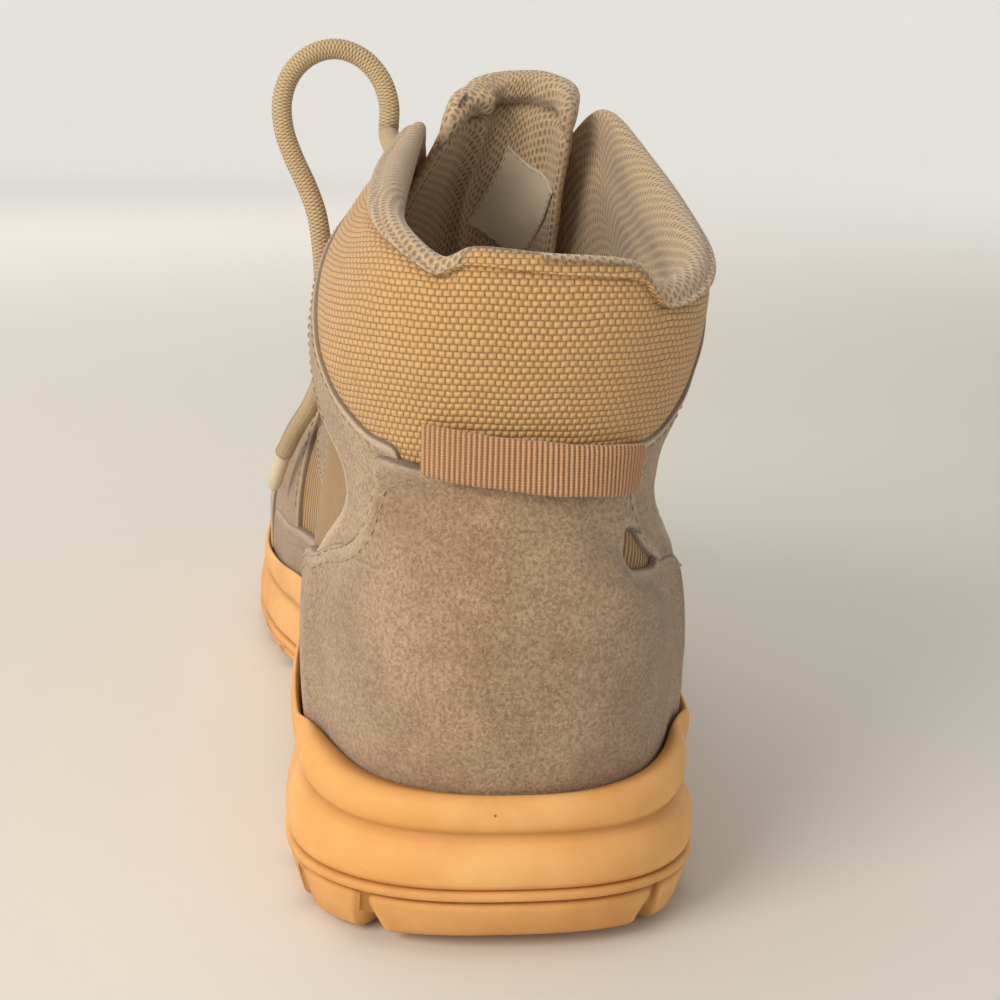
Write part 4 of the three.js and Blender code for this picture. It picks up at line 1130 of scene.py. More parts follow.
def webbing():
    r = Recipe("webbing", 0.72, sheen=0.3)
    u, v = r.cloth()
    cross = r.math("MULTIPLY_ADD", r.math("SINE", r.math("MULTIPLY", v, 2 * math.pi / 0.55)), 0.5, 0.5)
    rib = r.math("MULTIPLY_ADD", r.math("COSINE", r.math("MULTIPLY", u, 2 * math.pi)), 0.5, 0.5)
    tone = r.mix(r.noise(9, 3.0), paint(186, 140, 100), paint(200, 156, 116))
    # painted shade: darker in the valleys between the ribs
    rib_valley_shade = r.mix(r.step(rib, 0.05, 0.6), paint(140, 96, 62), tone)
    # painted highlight: lighter on the crests of the fine cross ribs
    r.colour(r.mix(r.math("MULTIPLY", cross, 0.22), rib_valley_shade, paint(220, 182, 144)))
    r.bump(cross, 0.12, 0.7)
    r.bump(r.noise(0.3, 2.0), 0.08, 0.6)
    return r


WEBBING = webbing()
band_turn = np.linspace(-1, 1, 401)
band_angle = band_turn * BAND_REACH + BAND_TURN
band_rows = np.linspace(-1, 1, 13)
band_middle = BAND_HEIGHT - BAND_FALL * band_turn
band_top, band_back, band_cloth = [], [], []
for row in band_rows:
    z = band_middle + row * BAND_HALF * (1 + 0.02 * np.cos(band_turn * 9))
    bow = 0.9 + 2.0 * (1 - band_turn**4) + 0.25 * np.sin(band_turn * 5 + 1)
    rib = 0.2 * np.cos(band_turn * BAND_LENGTH / 2 * 2 * np.pi)
    rounded = 0.35 * abs(row) ** 6
    band_top.append(heel_point(band_angle, z, bow + BAND_THICK + rib - rounded))
    band_back.append(heel_point(band_angle, z, bow))
    band_cloth.append(np.stack([band_turn * BAND_LENGTH / 2, z], -1))
grid = np.concatenate([band_top, band_back[::-1]])
band_faces = []
n, half = len(band_turn), len(band_rows)
for j in range(len(grid)):
    k = (j + 1) % len(grid)
    for i in range(n - 1):
        band_faces.append((j * n + i, j * n + i + 1, k * n + i + 1, k * n + i))
for i in (0, n - 1):
    for j in range(half - 1):
        behind = 2 * half - 1 - j
        band_faces.append((j * n + i, (j + 1) * n + i, (behind - 1) * n + i, behind * n + i))
piece("pull_band_webbing", grid.reshape(-1, 3), band_faces, WEBBING,
      cloth=np.concatenate(band_cloth + band_cloth[::-1]), stands_for=["pull_band"])

# %% [markdown]
# ## Midsole
# The midsole is a cup of foam. From below it flares out smoothly, then comes a crease, and above
# the crease a soft roll that holds the suede. One profile is swept round the whole foot. Shade is
# painted into the crease, along the joint with the outsole and inside the cup.

# %% Sole outline and the foam cup
SOLE_START = -4.0
SOLE_LENGTH = 302.0
SOLE_PLAN = np.array([
    # station, centre, inner half, outer half
    (-4, 0, 42.4, 40.8), (45, 0, 43.8, 42), (90, 0, 38.6, 40.4), (122, 0, 34.7, 42),
    (150, 0, 37.9, 45.5), (178, 0, 45.3, 51), (205, 0, 49, 54.6), (228, -0.5, 48.1, 54.1),
    (250, -3, 44.4, 50.3), (298, -9, 37, 43.7),
], float)
MIDSOLE_WALL = [
    # rise from the joint to the rim, distance out from the plan
    (0.0, -1.3), (0.03, -0.7), (0.08, -0.2), (0.15, 0.0), (0.24, -0.05), (0.33, -0.5), (0.41, -1.3),
    (0.48, -2.3), (0.535, -3.2), (0.565, -3.75), (0.59, -3.7), (0.62, -3.1), (0.67, -2.4), (0.73, -2.0),
    (0.8, -1.9), (0.87, -2.15), (0.93, -2.7), (0.975, -3.5), (1.0, -4.6),
]


def sole_edge(around, out):
    side, along = side_and_along(around)
    s = SOLE_START + SOLE_LENGTH * (1 + np.cos(np.pi * along)) / 2
    centre, inner, outer = np.moveaxis(read_row(SOLE_PLAN, s), -1, 0)
    heel = np.clip(1 - (s - SOLE_START) / 46, 0, 1)
    toe = np.clip((s - 232) / (SOLE_START + SOLE_LENGTH - 232), 0, 1)
    close = (1 - heel**2.6) ** (1 / 2.6) * (1 - toe**2.15) ** (1 / 2.15)
    edge = np.stack([centre + side * np.where(side < 0, inner, outer) * close, s, 0 * s], -1)
    middle = np.stack([centre, np.clip(s, 44, 246), 0 * s], -1)
    return edge + unit(edge - middle) * np.broadcast_to(out, np.shape(s))[..., None]


def sole_levels(p):
    return np.moveaxis(read_row(SOLE_SIDE, p[..., 1]), -1, 0)


def even_around(count):
    """Places round the sole at even distances, because the plain measure bunches at the ends."""
    fine = np.linspace(0, 1, 4001)
    line = sole_edge(fine, 0.0)
    run = np.concatenate([[0], np.cumsum(np.linalg.norm(np.diff(line, axis=0), axis=1))])
    return np.interp(np.arange(count) / count * run[-1], run, fine), run[-1]


sole_around, sole_girth = even_around(420)
cup = []
for rise, out in MIDSOLE_WALL:
    ring = sole_edge(sole_around, out)
    ground, joint, rim, floor = sole_levels(ring)
    ring[..., 2] = joint + (rim - joint) * rise
    if rise > 0.3:  # the wall stays outside the suede where the upper is wide
        start = np.stack([0 * ring[:, 0], np.clip(ring[:, 1], 50, 215), ring[:, 2]], -1)
        toward = unit(ring - start)
        needed = np.linalg.norm(cast(start, toward) - start, axis=-1) + 1.9 + (out + 4.6) * 0.45
        short = needed - np.linalg.norm(ring - start, axis=-1)
        ring = ring + toward * np.maximum(short, 0)[:, None]
    cup.append(ring)
inner_rim = cup[-1].copy()
start = np.stack([0 * inner_rim[:, 0], np.clip(inner_rim[:, 1], 50, 215), inner_rim[:, 2]], -1)
surface = cast(start, unit(inner_rim - start))
rim_dir = unit(inner_rim - start)
cup.append(surface + rim_dir * 1.5 - (0.0, 0.0, 0.3))
cup.append(surface + rim_dir * 0.7 - (0.0, 0.0, 2.2))
bed = surface + rim_dir * 0.4
ground, joint, rim, floor = sole_levels(bed)
bed[..., 2] = floor
cup.append(bed)
cup = np.stack(cup)
cup_rows, cup_count = cup.shape[:2]
cup_faces = ring_faces(cup_rows, cup_count)


def strips_across(start, count, flip):
    """Closes a ring with strips from its inner side to its outer side."""
    faces = []
    for i in range(count // 2):
        a, b = start + i, start + i + 1
        c, d = start + (count - i) % count, start + count - i - 1
        face = (a, b, d, c) if 0 < i < count // 2 - 1 else ((a, b, d) if i == 0 else (a, b, c))
        faces.append(face[::-1] if flip else face)
    return faces


cup_faces += strips_across(0, cup_count, True)
cup_faces += strips_across((cup_rows - 1) * cup_count, cup_count, False)


def foam(name, light, dark, marks=()):
    r = Recipe(name, 0.6, specular=0.3)
    patches = r.noise(30, 3.0, 0.6, seed=2.0)
    dust = r.noise(5, 4.0, 0.7, seed=5.0)
    grain = r.noise(0.9, 3.0, 0.6)
    base = r.mix(r.step(patches, 0.32, 0.68), dark, light)
    base = r.mix(r.step(dust, 0.56, 0.78, 0.0, 0.3), base, paint(206, 156, 96))
    base = r.mix(r.step(grain, 0.62, 0.75, 0.0, 0.2), base, paint(250, 216, 160))
    # painted shade: darker in creases, joints and recesses, as weighted by the hollow mark
    crease = r.attribute("hollow_shade")
    base = r.mix(r.math("MULTIPLY", crease, 0.6), base, paint(170, 116, 58))
    for place, radius in marks:
        base = r.mix(r.math("MULTIPLY", r.spot(place, radius), 0.85), base, paint(116, 84, 56))
    r.colour(base)
    r.rough(r.step(dust, 0.3, 0.8, 0.5, 0.78))
    r.bump(patches, 1.2, 0.2)
    r.bump(grain, 0.12, 0.5)
    return r


MIDSOLE = foam("midsole_foam", paint(238, 184, 118), paint(226, 166, 98),
               marks=[((-4.5, -42.0, 29.4), 0.4), ((3.8, -43.8, 20.7), 0.55), ((-21.0, -40.5, 22.5), 0.3)])
RUBBER = foam("outsole_rubber", paint(230, 174, 108), paint(212, 154, 90))
# weights of painted shade on the midsole: its crease, its joint with the outsole, and inside the cup
hollow_shade = []
for rise, out in MIDSOLE_WALL:
    at_crease = math.exp(-(((rise - 0.575) / 0.045) ** 2))
    at_joint = math.exp(-((rise / 0.03) ** 2))
    hollow_shade.append(np.full(cup_count, at_crease + at_joint))
hollow_shade += [np.full(cup_count, 0.7)] * (cup_rows - len(MIDSOLE_WALL))
piece("midsole_foam", cup.reshape(-1, 3), cup_faces, MIDSOLE,
      marks={"hollow_shade": np.concatenate(hollow_shade)}, stands_for=["midsole"])

# %% [markdown]
# ## Outsole
# The rubber outsole has a thin band under the foam, a groove, and then separate blocks. Blocks
# round the edge slope inwards to the ground. The rear block is a wide trapezoid that stands off
# the floor a little, because the heel is bevelled.

# %% Rubber base, edge blocks and tread bars
LUG_DEPTH = 4.5
BASE_WALL = [
    # out from the plan, below the joint (share 0) or above the ground (share 1), height
    (-1.2, 0, -0.15), (-0.35, 0, -0.35), (0.0, 0, -0.8), (0.0, 0, -1.7), (-0.4, 0, -2.1),
    (-1.5, 0, -2.35), (-2.4, 0, -2.9), (-3.2, 1, LUG_DEPTH - 0.6),
]


def base_ring(around, out, share, height):
    ring = sole_edge(around, out)
    ground, joint, rim, floor = sole_levels(ring)
    ring[..., 2] = (joint, ground)[share] + height
    return ring


rubber_parts = []
base = np.stack([base_ring(sole_around, *row) for row in BASE_WALL])
flip_rows = base[::-1]
base_faces = ring_faces(len(BASE_WALL), cup_count)
base_faces += strips_across(0, cup_count, True)
base_faces += strips_across((len(BASE_WALL) - 1) * cup_count, cup_count, False)
# weights of painted shade on the rubber: darkest just under the joint with the foam
rubber_hollow_shade = [np.repeat([1.0, 1.0, 0.7, 0.1, 0.0, 0.0, 0.0, 0.2], cup_count)]
rubber_parts.append((flip_rows.reshape(-1, 3), base_faces, np.zeros((flip_rows.size // 3, 2))))


def at_run(run):
    """Place round the sole at a distance from the middle of the heel: minus is the inner side."""
    fine = np.linspace(0, 1, 4001)
    line = sole_edge(fine, 0.0)
    length = np.concatenate([[0], np.cumsum(np.linalg.norm(np.diff(line, axis=0), axis=1))])
    return np.interp(run + np.interp(0.5, fine, length), length, fine)


def edge_block(first, last, width, draft=1.3):
    """One block of the edge: a row of five-cornered sections between two distances."""
    steps = max(int((last - first) / 2.0), 4)
    run = np.linspace(first, last, steps + 1)
    narrow = np.clip(run, first + draft, last - draft)
    top, low = at_run(run), at_run(narrow)
    corners = []
    for around, out, share, height in (
            (top, -1.7, 0, -2.7), (top, -0.7, 0, -3.3), (top, -0.9, 0, -4.6), (low, -2.9, 1, 1.0),
            (low, -4.4, 1, 0.0), (low, -width, 1, 0.0), (low, -width - 0.9, 1, 0.9),
            (top, -width - 1.6, 1, LUG_DEPTH + 0.4)):
        ring = base_ring(around, out, share, height)
        ring[..., 2] = np.maximum(ring[..., 2], 0.0)
        corners.append(ring)
    section = np.stack(corners, 1)
    count, sides = section.shape[:2]
    faces = ring_faces(count, sides)
    faces.append(tuple(range(sides))[::-1])
    faces.append(tuple((count - 1) * sides + j for j in range(sides)))
    rubber_parts.append((section.reshape(-1, 3), faces, np.zeros((count * sides, 2))))
    # painted shade at the block's top corners, where it meets the base
    rubber_hollow_shade.append(np.tile([0.8, 0.1, 0.0, 0.0, 0.0, 0.3, 0.5, 1.0], count))


HEEL_BLOCK = 30.0
SIDE_BLOCKS = [
    # first and last distance from the middle of the heel, width
    (33.5, 52, 14), (55.5, 74, 16), (78, 96, 16), (100, 116, 16), (190, 205, 15), (209, 226, 18),
    (230, 247, 18), (251, 268, 18), (272, 289, 18), (293, 309, 17), (313, 330, 15), (334, 349, 13),
]
half_girth = sole_girth / 2
edge_block(-HEEL_BLOCK, HEEL_BLOCK, 17, draft=2.4)
for first, last, width in SIDE_BLOCKS:
    if last > half_girth - 3:
        continue
    edge_block(first, last, width)
    edge_block(-last, -first, width)
print("sole girth", round(sole_girth), "mm, blocks:", len(rubber_parts) - 1)


def tread_bar(corners):
    """A raised bar of the tread from its plan corners (across, station)."""
    plan = np.array(corners, float)
    middle = plan.mean(0)
    rings = []
    for grow, height in ((1.6, LUG_DEPTH + 0.3), (0.5, 0.8), (0.0, 0.0)):
        away = plan - middle
        spread = plan + unit(away) * grow
        ground = read_row(SOLE_SIDE, plan[:, 1])[:, 0]
        z = np.maximum(ground + height, 0)
        rings.append(np.stack([spread[:, 0], spread[:, 1], z], 1))
    count = len(plan)
    points = np.concatenate(rings)
    faces = ring_faces(len(rings), count)
    faces += [tuple(range(count)), tuple(2 * count + i for i in reversed(range(count)))]
    rubber_parts.append((points, faces, np.zeros((len(points), 2))))
    # painted shade where the bar meets the base of the sole
    rubber_hollow_shade.append(np.repeat([1.0, 0.2, 0.0], count))


for s in (26, 41, 56):
    tread_bar([(-21, s - 2), (0, s + 3), (21, s - 2), (21, s + 6), (0, s + 11), (-21, s + 6)])
tread_bar([(-17, 72), (17, 72), (14, 82), (-14, 82)])
for s in (172, 190, 208, 226, 244):
    shift = -0.10 * max(s - 215, 0)
    wide = 27 - 0.14 * max(s - 215, 0)
    tread_bar([(shift - wide, s + 4), (shift, s - 3), (shift + wide, s + 4), (shift + wide, s + 13),
               (shift, s + 7), (shift - wide, s + 13)])
outsole_points, outsole_faces, _ = join_parts(rubber_parts)
piece("outsole_tread", outsole_points, outsole_faces, RUBBER,
      marks={"hollow_shade": np.concatenate(rubber_hollow_shade)}, stands_for=["outsole"])

# %% [markdown]
# ## Tongue
# The tongue is a padded flap under the lacing. Its inner face carries the same mesh as the
# collar and can be seen through the opening, so it gets a soft upright fold, a rolled top edge
# and a seam below that edge, with shade painted along the seam. A plain woven label is sewn to it, a little
# turned and quite blank.

# %% Tongue pad with its fold and rolled top
TONGUE = np.array([
    # row, station, height, half width
    (0, 214, 78, 22.3), (1, 190, 88, 26), (2, 166, 101, 28.8), (3, 148, 115, 29.8),
    (4, 137, 132, 28.8), (5, 130, 150, 28), (6, 127, 166, 26),
], float)
TONGUE_DROP = 0.6  # rows that its top corners are lower by
TONGUE_OFF = -6.6
TONGUE_HALF_THICK = 3.0
TONGUE_ROWS = 130
TONGUE_COLUMNS = 90
TONGUE_FOLDS = [
    # line of (across, height), width, depth
    ([(-7, 162), (-5.6, 157), (-2.8, 140), (-1.2, 123), (0, 108)], 2.6, -2.0),
    ([(-13, 160), (-11, 150), (-9, 135), (-8, 118)], 4.5, 0.9),
    ([(26, 160), (24, 148), (21, 132), (18, 118)], 5.0, -0.9),
]


def tongue_surface(across, row):
    """Form point and outward direction for a place on the tongue: across -1 to 1, row 0 to 6."""
    drop = TONGUE_DROP * np.abs(across) ** 3 * ramp(0.7, 1, row / 6)
    s, z, half = np.moveaxis(read_row(TONGUE, row - drop), -1, 0)
    high = ramp(2.0, 4.5, row)
    half = half * (1 + 0.4 * ramp(0.1, 1, across) * high)
    middle = read_row(LEG, z)[..., 0] * (1 - ramp(130, 165, s))
    guide = np.stack([middle + across * half, s, z], -1)
    surface = on_form(guide)
    surface = surface - outward(surface) * (5.0 * ramp(0.6, 1, across) * high)[..., None]
    shift = np.zeros_like(across)
    for line, width, depth in TONGUE_FOLDS:
        near = away_from_line(guide[..., [0, 2]], np.array(line, float))
        shift = shift + depth * np.exp(-((near / width) ** 2)) * ramp(0.4, 2.0, row)
    return surface, outward(surface), shift


def tongue_inner(across, row, extra=0.0):
    """A point on the inner face of the tongue."""
    surface, out, shift = tongue_surface(across, row)
    thick = TONGUE_HALF_THICK * tongue_fullness(across, row)
    return surface + out * (TONGUE_OFF + shift - thick - extra)[..., None]


def tongue_fullness(across, row):
    side = (1 - np.abs(across) ** 5) ** 0.5
    top = np.sqrt(np.clip(1 - np.clip((row - 5.86) / 0.14, 0, 1) ** 2, 0, 1))
    seam = 1 - 0.7 * np.exp(-(((row - 5.5) / 0.09) ** 2)) + 0.25 * ramp(5.55, 5.7, row)
    return np.clip(side * seam, 0.16, 1.25) * np.maximum(top, 0.06)


across, row = np.meshgrid(np.linspace(-1, 1, TONGUE_COLUMNS), 6 * np.linspace(0, 1, TONGUE_ROWS) ** 0.8)
surface, out, shift = tongue_surface(across, row)
thick = TONGUE_HALF_THICK * tongue_fullness(across, row)
front = surface + out * (TONGUE_OFF + shift * 0.4 + thick)[..., None]
back = surface + out * (TONGUE_OFF + shift - thick)[..., None]
loop = np.concatenate([front, back[:, ::-1]], 1)
ring = loop.shape[1]
tongue_faces, tongue_kinds = [], []
for j in range(TONGUE_ROWS - 1):
    for i in range(ring):
        k = (i + 1) % ring
        tongue_faces.append((j * ring + i, j * ring + k, (j + 1) * ring + k, (j + 1) * ring + i))
        tongue_kinds.append(1 if i < TONGUE_COLUMNS - 1 and row[j, 0] < 5.7 else 0)
for j in (0, TONGUE_ROWS - 1):
    for i in range(TONGUE_COLUMNS - 1):
        behind = j * ring + ring - 1 - i
        tongue_faces.append((j * ring + i, j * ring + i + 1, behind - 1, behind))
        tongue_kinds.append(0)
rise = np.concatenate([np.zeros((1, ring)), np.cumsum(np.linalg.norm(np.diff(loop, axis=0), axis=-1), 0)])
span = np.concatenate([across * 29, across[:, ::-1] * 29], 1)
# the seam mark paints shade into the groove below the tongue's rolled top
tongue = piece("tongue_pad", loop.reshape(-1, 3), tongue_faces, LINING,
               cloth=np.stack([span, rise], -1).reshape(-1, 2), stands_for=["tongue"],
               marks={"seam": np.exp(-((np.concatenate([row, row], 1) - 5.5) / 0.03) ** 2).ravel()},
               face_kinds=tongue_kinds, materials=[LINING, WOVEN])

# %% Blank label sewn to the inner face
LABEL_STEPS = 33
LABEL_SIZE = (21, 20)
LABEL = [(10.8, 150.0), (29.6, 140.0), (18.6, 122.5), (0.5, 131.2)]  # corners: across, height


def label_cloth():
    r = Recipe("label_satin", 0.7, sheen=0.3)
    u, v = r.cloth()
    weave = r.math("MULTIPLY_ADD", r.math("SINE", r.math("MULTIPLY", v, 2 * math.pi / 0.5)), 0.5, 0.5)
    tone = r.mix(r.noise(6, 3.0), paint(214, 202, 182), paint(196, 182, 160))
    r.colour(r.mix(r.math("MULTIPLY", weave, 0.3), tone, paint(176, 160, 136)))
    r.bump(weave, 0.08, 0.6)
    r.bump(r.noise(7, 2.0), 0.5, 0.4)
    return r


LABEL_CLOTH = label_cloth()
a, b, c, d = np.array(LABEL)
gx, gy = np.meshgrid(np.linspace(0, 1, LABEL_STEPS), np.linspace(0, 1, LABEL_STEPS))
flat = ((1 - gy)[..., None] * ((1 - gx)[..., None] * a + gx[..., None] * b)
        + gy[..., None] * ((1 - gx)[..., None] * d + gx[..., None] * c))
label_row = np.interp(flat[..., 1], TONGUE[:, 2], TONGUE[:, 0])
half = read_row(TONGUE, label_row)[..., 2]
middle = read_row(LEG, flat[..., 1])[..., 0]
label_across = np.clip((flat[..., 0] - middle) / half, -0.97, 0.97)
rim = np.minimum(np.minimum(gx, 1 - gx), np.minimum(gy, 1 - gy)) * 21
lifted = tongue_inner(label_across, label_row, 0.35 + 0.25 * np.sin(gx * 7 + gy * 4))
under = tongue_inner(label_across, label_row, 0.02 + 0.25 * np.sin(gx * 7 + gy * 4))
sheet = np.concatenate([lifted.reshape(-1, 3), under.reshape(-1, 3)])
side = LABEL_STEPS
label_faces = []
for j in range(side - 1):
    for i in range(side - 1):
        q = (j * side + i, j * side + i + 1, (j + 1) * side + i + 1, (j + 1) * side + i)
        label_faces += [q, tuple(v + side * side for v in q[::-1])]
border = ([(0, i) for i in range(side - 1)] + [(j, side - 1) for j in range(side - 1)]
          + [(side - 1, i) for i in range(side - 1, 0, -1)] + [(j, 0) for j in range(side - 1, 0, -1)])
border = [j * side + i for j, i in border]
for v, w in zip(border, border[1:] + border[:1]):
    label_faces.append((w, v, v + side * side, w + side * side))
label_cut = np.stack([gx * LABEL_SIZE[0], gy * LABEL_SIZE[1]], -1).reshape(-1, 2)
label = piece("label_blank", sheet, label_faces, LABEL_CLOTH,
              cloth=np.concatenate([label_cut, label_cut]))
for line in (lifted[1], lifted[-2], lifted[:, 1], lifted[:, -2]):
    fine = curve_through(line, 0.4)
    for begin in range(1, len(fine) - 4, 6):
        thread_parts.append(tube_mesh(fine[begin:begin + 4], 0.16, 5))

# %% [markdown]
# ## Sock liner
# The liner lies on the bed inside the boot. It is a little dished and rounded at its edge.

# %% Liner with a rounded, slightly raised edge
LINER_WALL = 4.0
LINER_EASE = WALL + 0.3 + 2.4
liner_around = np.arange(360) / 360
liner_edge = feather_line(liner_around)
liner_out = outward(liner_edge) * (1.0, 1.0, 0.0)
liner_out = unit(liner_out)
liner_middle = np.stack([0 * liner_edge[:, 0], np.clip(liner_edge[:, 1], 50, 215), liner_edge[:, 2]], -1)
liner_rows = []
for inward, up in ((LINER_EASE + 0.8, 0.35), (LINER_EASE, 1.0), (LINER_EASE, LINER_WALL - 0.8),
                   (LINER_EASE + 0.5, LINER_WALL), (LINER_EASE + 1.4, LINER_WALL + 0.2)):
    liner_rows.append(liner_edge - liner_out * inward + (0.0, 0.0, up))
for share in (0.12, 0.25, 0.4, 0.6, 0.8):
    dish = liner_rows[4] * (1 - share) + (liner_middle + (0.0, 0.0, LINER_WALL)) * share
    dish[:, 2] -= 1.2 * ramp(0, 0.5, share)
    liner_rows.append(dish)
liner = np.stack(liner_rows)
count = len(liner_around)
liner_faces = ring_faces(len(liner), count)
liner_faces += strips_across(0, count, True)
liner_faces += strips_across((len(liner) - 1) * count, count, False)
liner_cloth = liner.reshape(-1, 3)[:, :2]
liner_piece = piece("sock_liner", liner.reshape(-1, 3), liner_faces, LINING, cloth=liner_cloth,
                    marks={"seam": np.zeros(liner.shape[0] * count)}, stands_for=["insole"])

# %% [markdown]
# ## Eyelets and lacing
# Fourteen rings hold a round braided lace. A bar lies across the lowest pair. Each run above it
# crosses the tongue and dives under the opposite eyestay. The runs are separate lengths: the
# short hidden stretch from there up to the next ring is left out. Where two runs cross, one is
# laid higher than the other.

# %% Painted metal rings
EYELET_ROWS = [0.24, 0.31, 0.38, 0.45, 0.51, 0.57, 0.62]
EYELET_INSET = 9.0
RING_PROFILE = [
    # distance from the middle, height above the skin
    (2.5, -1.6), (2.5, 1.9), (2.65, 2.3), (3.0, 2.55), (3.4, 2.5), (3.85, 2.2), (4.2, 1.75), (4.3, 1.1),
    (3.4, 0.6), (3.0, -1.6),
]


def facing(side, row, inset_mm):
    """A place on the skin beside the throat's edge, and its outward direction."""
    edge = opening_line(np.array([row / 2 if side < 0 else 1 - row / 2]))[0]
    at = on_form(edge + (side * inset_mm, 0.0, 0.0))
    return at, outward(at)


def painted_metal():
    r = Recipe("eyelet_paint", 0.42, specular=0.5)
    worn = r.noise(1.6, 3.0, 0.7)
    r.colour(r.mix(r.step(worn, 0.6, 0.72), paint(168, 138, 106), paint(196, 170, 136)))
    r.rough(r.step(worn, 0.4, 0.8, 0.36, 0.58))
    r.bump(r.noise(0.7, 2.0), 0.05, 0.5)
    return r


PAINTED = painted_metal()
RING_SIDES = 48
for side, word in ((-1, "medial"), (1, "lateral")):
    for number, row_at in enumerate(EYELET_ROWS, 1):
        seat, up = facing(side, row_at, EYELET_INSET)
        first = unit(np.cross(up, (0.0, 1.0, 0.0)))
        second = np.cross(up, first)
        turn = 2 * np.pi * np.arange(RING_SIDES) / RING_SIDES
        spokes = np.cos(turn)[:, None] * first + np.sin(turn)[:, None] * second
        rings = np.stack([seat + spokes * r + up * (h - PANEL_TUCK + 0.5) for r, h in RING_PROFILE])
        count = len(RING_PROFILE)
        faces = ring_faces(count, RING_SIDES, closed=True)
        piece(f"eyelet_ring_{word}_{number}", rings.reshape(-1, 3), faces, PAINTED,
              stands_for=[f"eyelet_{word}_{number}"])

# %% Braided lace: two sets of strands wound both ways round the cord


def braid(name, light, dark):
    r = Recipe(name, 0.85, sheen=0.3)
    u, v = r.cloth()
    run = r.math("DIVIDE", v, 5.2)
    a = r.math("MULTIPLY", r.math("ADD", u, run), 6.0)
    b = r.math("MULTIPLY", r.math("SUBTRACT", u, run), 6.0)
    fa = r.math("SUBTRACT", r.math("FRACT", a), 0.5)
    fb = r.math("SUBTRACT", r.math("FRACT", b), 0.5)
    turn = r.math("FLOORED_MODULO", r.math("ADD", r.math("FLOOR", a), r.math("FLOOR", b)), 2.0)
    arch_a = r.math("SUBTRACT", 1.0, r.math("MULTIPLY", r.math("MULTIPLY", fa, fa), 4.0))
    arch_b = r.math("SUBTRACT", 1.0, r.math("MULTIPLY", r.math("MULTIPLY", fb, fb), 4.0))
    over = r.math("MULTIPLY", r.math("POWER", arch_a, 0.6), r.math("MULTIPLY_ADD", arch_b, 0.6, 0.3))
    below = r.math("MULTIPLY", r.math("POWER", arch_b, 0.6), r.math("MULTIPLY_ADD", arch_a, 0.6, 0.3))
    height = r.math("ADD", r.math("MULTIPLY", over, turn),
                    r.math("MULTIPLY", below, r.math("SUBTRACT", 1.0, turn)))
    fibre = r.noise(0.4, 2.0)
    tone = r.mix(r.noise(12, 2.0), light, dark)
    tone = r.mix(r.step(fibre, 0.55, 0.8, 0.0, 0.4), tone, paint(236, 216, 180))
    # painted shade: darker in the gaps between the strands
    r.colour(r.mix(r.step(height, 0.1, 0.6), paint(132, 106, 74), tone))
    r.bump(height, 0.4, 0.9)
    r.bump(fibre, 0.06, 0.5)
    return r


LACE = braid("lace_braid", paint(216, 192, 150), paint(198, 172, 130))
LOW_CROSS, HIGH_CROSS = 0.6, 5.6
lace_parts = []


def lay_lace(points):
    lace_parts.append(tube_mesh(curve_through(points, 0.9), LACE_R, 20))


def over_throat(start, end, share, off):
    """A point between two places, lifted off the form."""
    at = on_form(start * (1 - share) + end * share)
    return at + outward(at) * off


low_left, up_left = facing(-1, EYELET_ROWS[0], EYELET_INSET)
low_right, up_right = facing(1, EYELET_ROWS[0], EYELET_INSET)
lay_lace([low_left - up_left * 2, low_left + up_left * 2.2, over_throat(low_left, low_right, 0.16, 4.3),
          over_throat(low_left, low_right, 0.5, 4.6), over_throat(low_left, low_right, 0.84, 4.3),
          low_right + up_right * 2.2, low_right - up_right * 2])
for i in range(len(EYELET_ROWS) - 1):
    for side in (-1, 1):
        start, start_up = facing(side, EYELET_ROWS[i], EYELET_INSET)
        end, end_up = facing(-side, EYELET_ROWS[i + 1], EYELET_INSET - 5)
        middle_off = LOW_CROSS if side < 0 else HIGH_CROSS
        points = [start - start_up * 2, start + start_up * 2.4, over_throat(start, end, 0.16, 4.5)]
        if i == 0:
            start, start_up = facing(side, EYELET_ROWS[i], EYELET_INSET - 5)
            points = [start - start_up * 6.5]
        points += [over_throat(start, end, 0.5, middle_off), over_throat(start, end, 0.78, -1.4),
                   end - end_up * 5.8]
        lay_lace(points)
end, end_up = facing(1, EYELET_ROWS[-1], EYELET_INSET)
lay_lace([end - end_up * 3, end, end + end_up * 2.6])
end, end_up = facing(-1, EYELET_ROWS[-1], EYELET_INSET)
exit_run = unit(lace_path[1] - lace_path[0])
print("top inner eyelet at", np.round(end, 1), "lace end starts at", np.round(lace_path[0], 1))
lay_lace([end - end_up * 3, end + end_up * 0.6, lace_path[0] - exit_run * 1.2, lace_path[0] + exit_run * 0.4])
lace_points, lace_faces, lace_cloth = join_parts(lace_parts)
piece("lacing", lace_points, lace_faces, LACE, cloth=lace_cloth,
      stands_for=["lace_crossings"])

# %% Free lace end and its tag
end_points, end_faces, end_cloth = tube_mesh(lace_path, LACE_R, 24)
lace_end = piece("lace_end_braid", end_points, end_faces, LACE, cloth=end_cloth,
                 stands_for=["lace_end"])


def tag_plastic():
    r = Recipe("tag_plastic", 0.35, specular=0.5)
    r.colour(r.mix(r.noise(4, 3.0), paint(226, 214, 190), paint(206, 190, 160)))
    r.bump(r.noise(0.8, 2.0), 0.05, 0.6)
    return r


tag_start = lace_path[-1] - unit(lace_path[-1] - lace_path[-2])
tag_path = curve_through([tag_start, *np.array(LACE_TIP, float)], 0.6)
tag_share = np.linspace(0, 1, len(tag_path))
tag_groove = 0.12 * np.exp(-((tag_share - 0.16) / 0.03) ** 2)
tag_radius = 2.15 - 0.25 * tag_share - 0.5 * ramp(0.93, 1.0, tag_share) - tag_groove
tag_points, tag_faces, tag_cloth = tube_mesh(tag_path, tag_radius, 24)
tag = piece("lace_tag", tag_points, tag_faces, tag_plastic(), cloth=tag_cloth,
            stands_for=["lace_tip"])

# %% [markdown]
# ## Stitching
# All stitches were collected while the panels were made. They become one piece of thread.

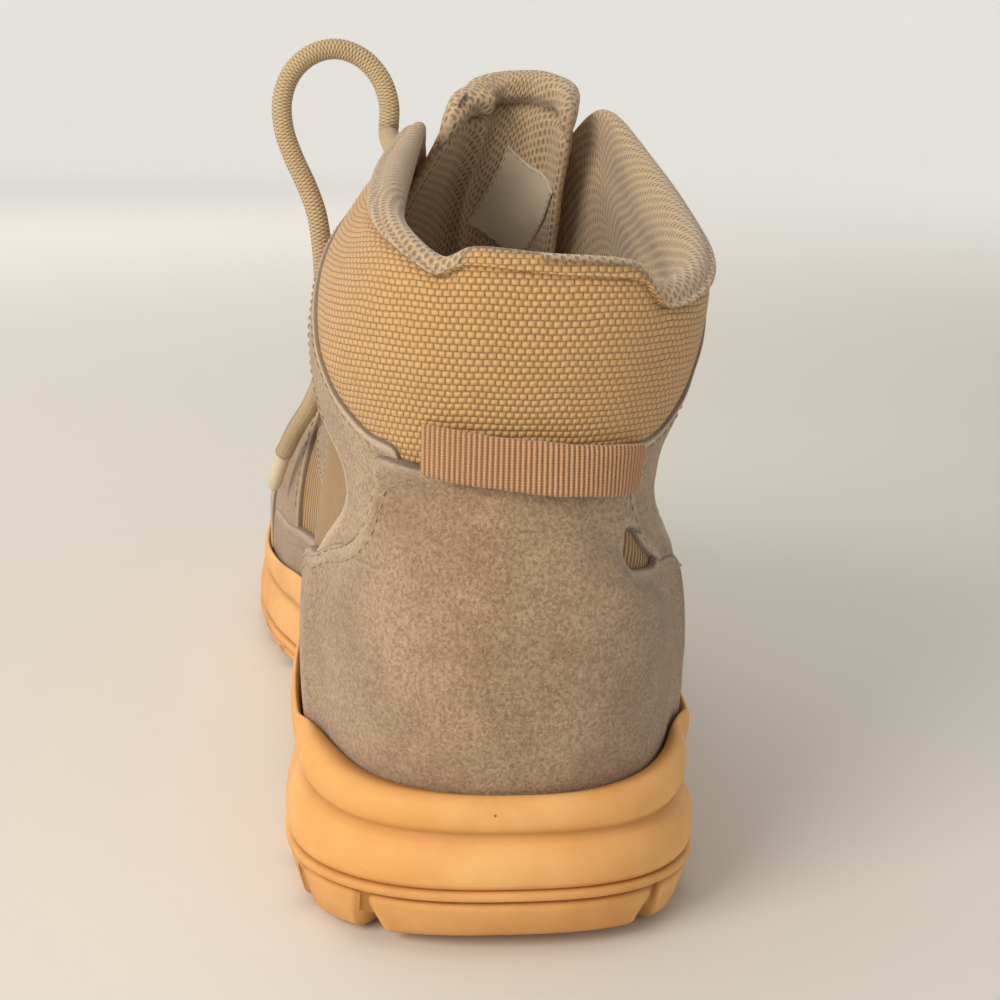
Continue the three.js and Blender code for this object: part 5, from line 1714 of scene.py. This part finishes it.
# %% One piece of thread
THREAD = Recipe("thread", 0.7, sheen=0.2)
THREAD.colour(THREAD.mix(THREAD.noise(8, 2.0), paint(186, 160, 126), paint(166, 140, 108)))
thread_points, thread_faces, thread_cloth = join_parts(thread_parts)
piece("stitching", thread_points, thread_faces, THREAD, cloth=thread_cloth)

# %% [markdown]
# ## Floor
# The boot stands on a plain pale floor. Far from the boot the floor curves up into a round
# backdrop, so the horizon is only a soft band, and its far part glows softly.

# %% Pale floor with a round backdrop
floor_paint = Recipe("floor_paint", 0.75, specular=0.2)
floor_split = floor_paint.node("ShaderNodeVectorMath", operation="LENGTH")
floor_paint.put(floor_split.inputs[0], floor_paint.place())
floor_glow = floor_paint.step(floor_split.outputs["Value"], 0.5, 1.8, 0.0, 0.4)
floor_paint.colour(paint(228, 227, 224))
floor_paint.put(floor_paint.shader.inputs["Emission Color"], paint(250, 249, 246))
floor_paint.put(floor_paint.shader.inputs["Emission Strength"], floor_glow)
FLOOR_SIDES = 64
FLOOR_PROFILE = [(0.0, 0.0), (0.6, 0.0), (1.2, 0.0), (1.8, 0.0), (2.3, 0.04), (2.7, 0.18), (2.95, 0.45),
                 (3.05, 0.9), (3.1, 1.6)]
floor_points, floor_faces = [], []
floor_turn = 2 * np.pi * np.arange(FLOOR_SIDES) / FLOOR_SIDES
for far, up in FLOOR_PROFILE[1:]:
    floor_points += [(far * math.cos(a), far * math.sin(a), up) for a in floor_turn]
floor_faces.append(tuple(range(FLOOR_SIDES)))
for j in range(len(FLOOR_PROFILE) - 2):
    near_ring, far_ring = j * FLOOR_SIDES, (j + 1) * FLOOR_SIDES
    for i in range(FLOOR_SIDES):
        k = (i + 1) % FLOOR_SIDES
        floor_faces.append((near_ring + i, far_ring + i, far_ring + k, near_ring + k))
floor_mesh = bpy.data.meshes.new("floor")
floor_mesh.from_pydata(floor_points, [], floor_faces)
floor_mesh.materials.append(floor_paint.material)
floor_mesh.shade_smooth()
floor = bpy.data.objects.new("floor", floor_mesh)
floor.location.z = float(CAD_BOX[0][2]) - 0.0002
bpy.context.scene.collection.objects.link(floor)
print("floor at", round(floor.location.z, 5))
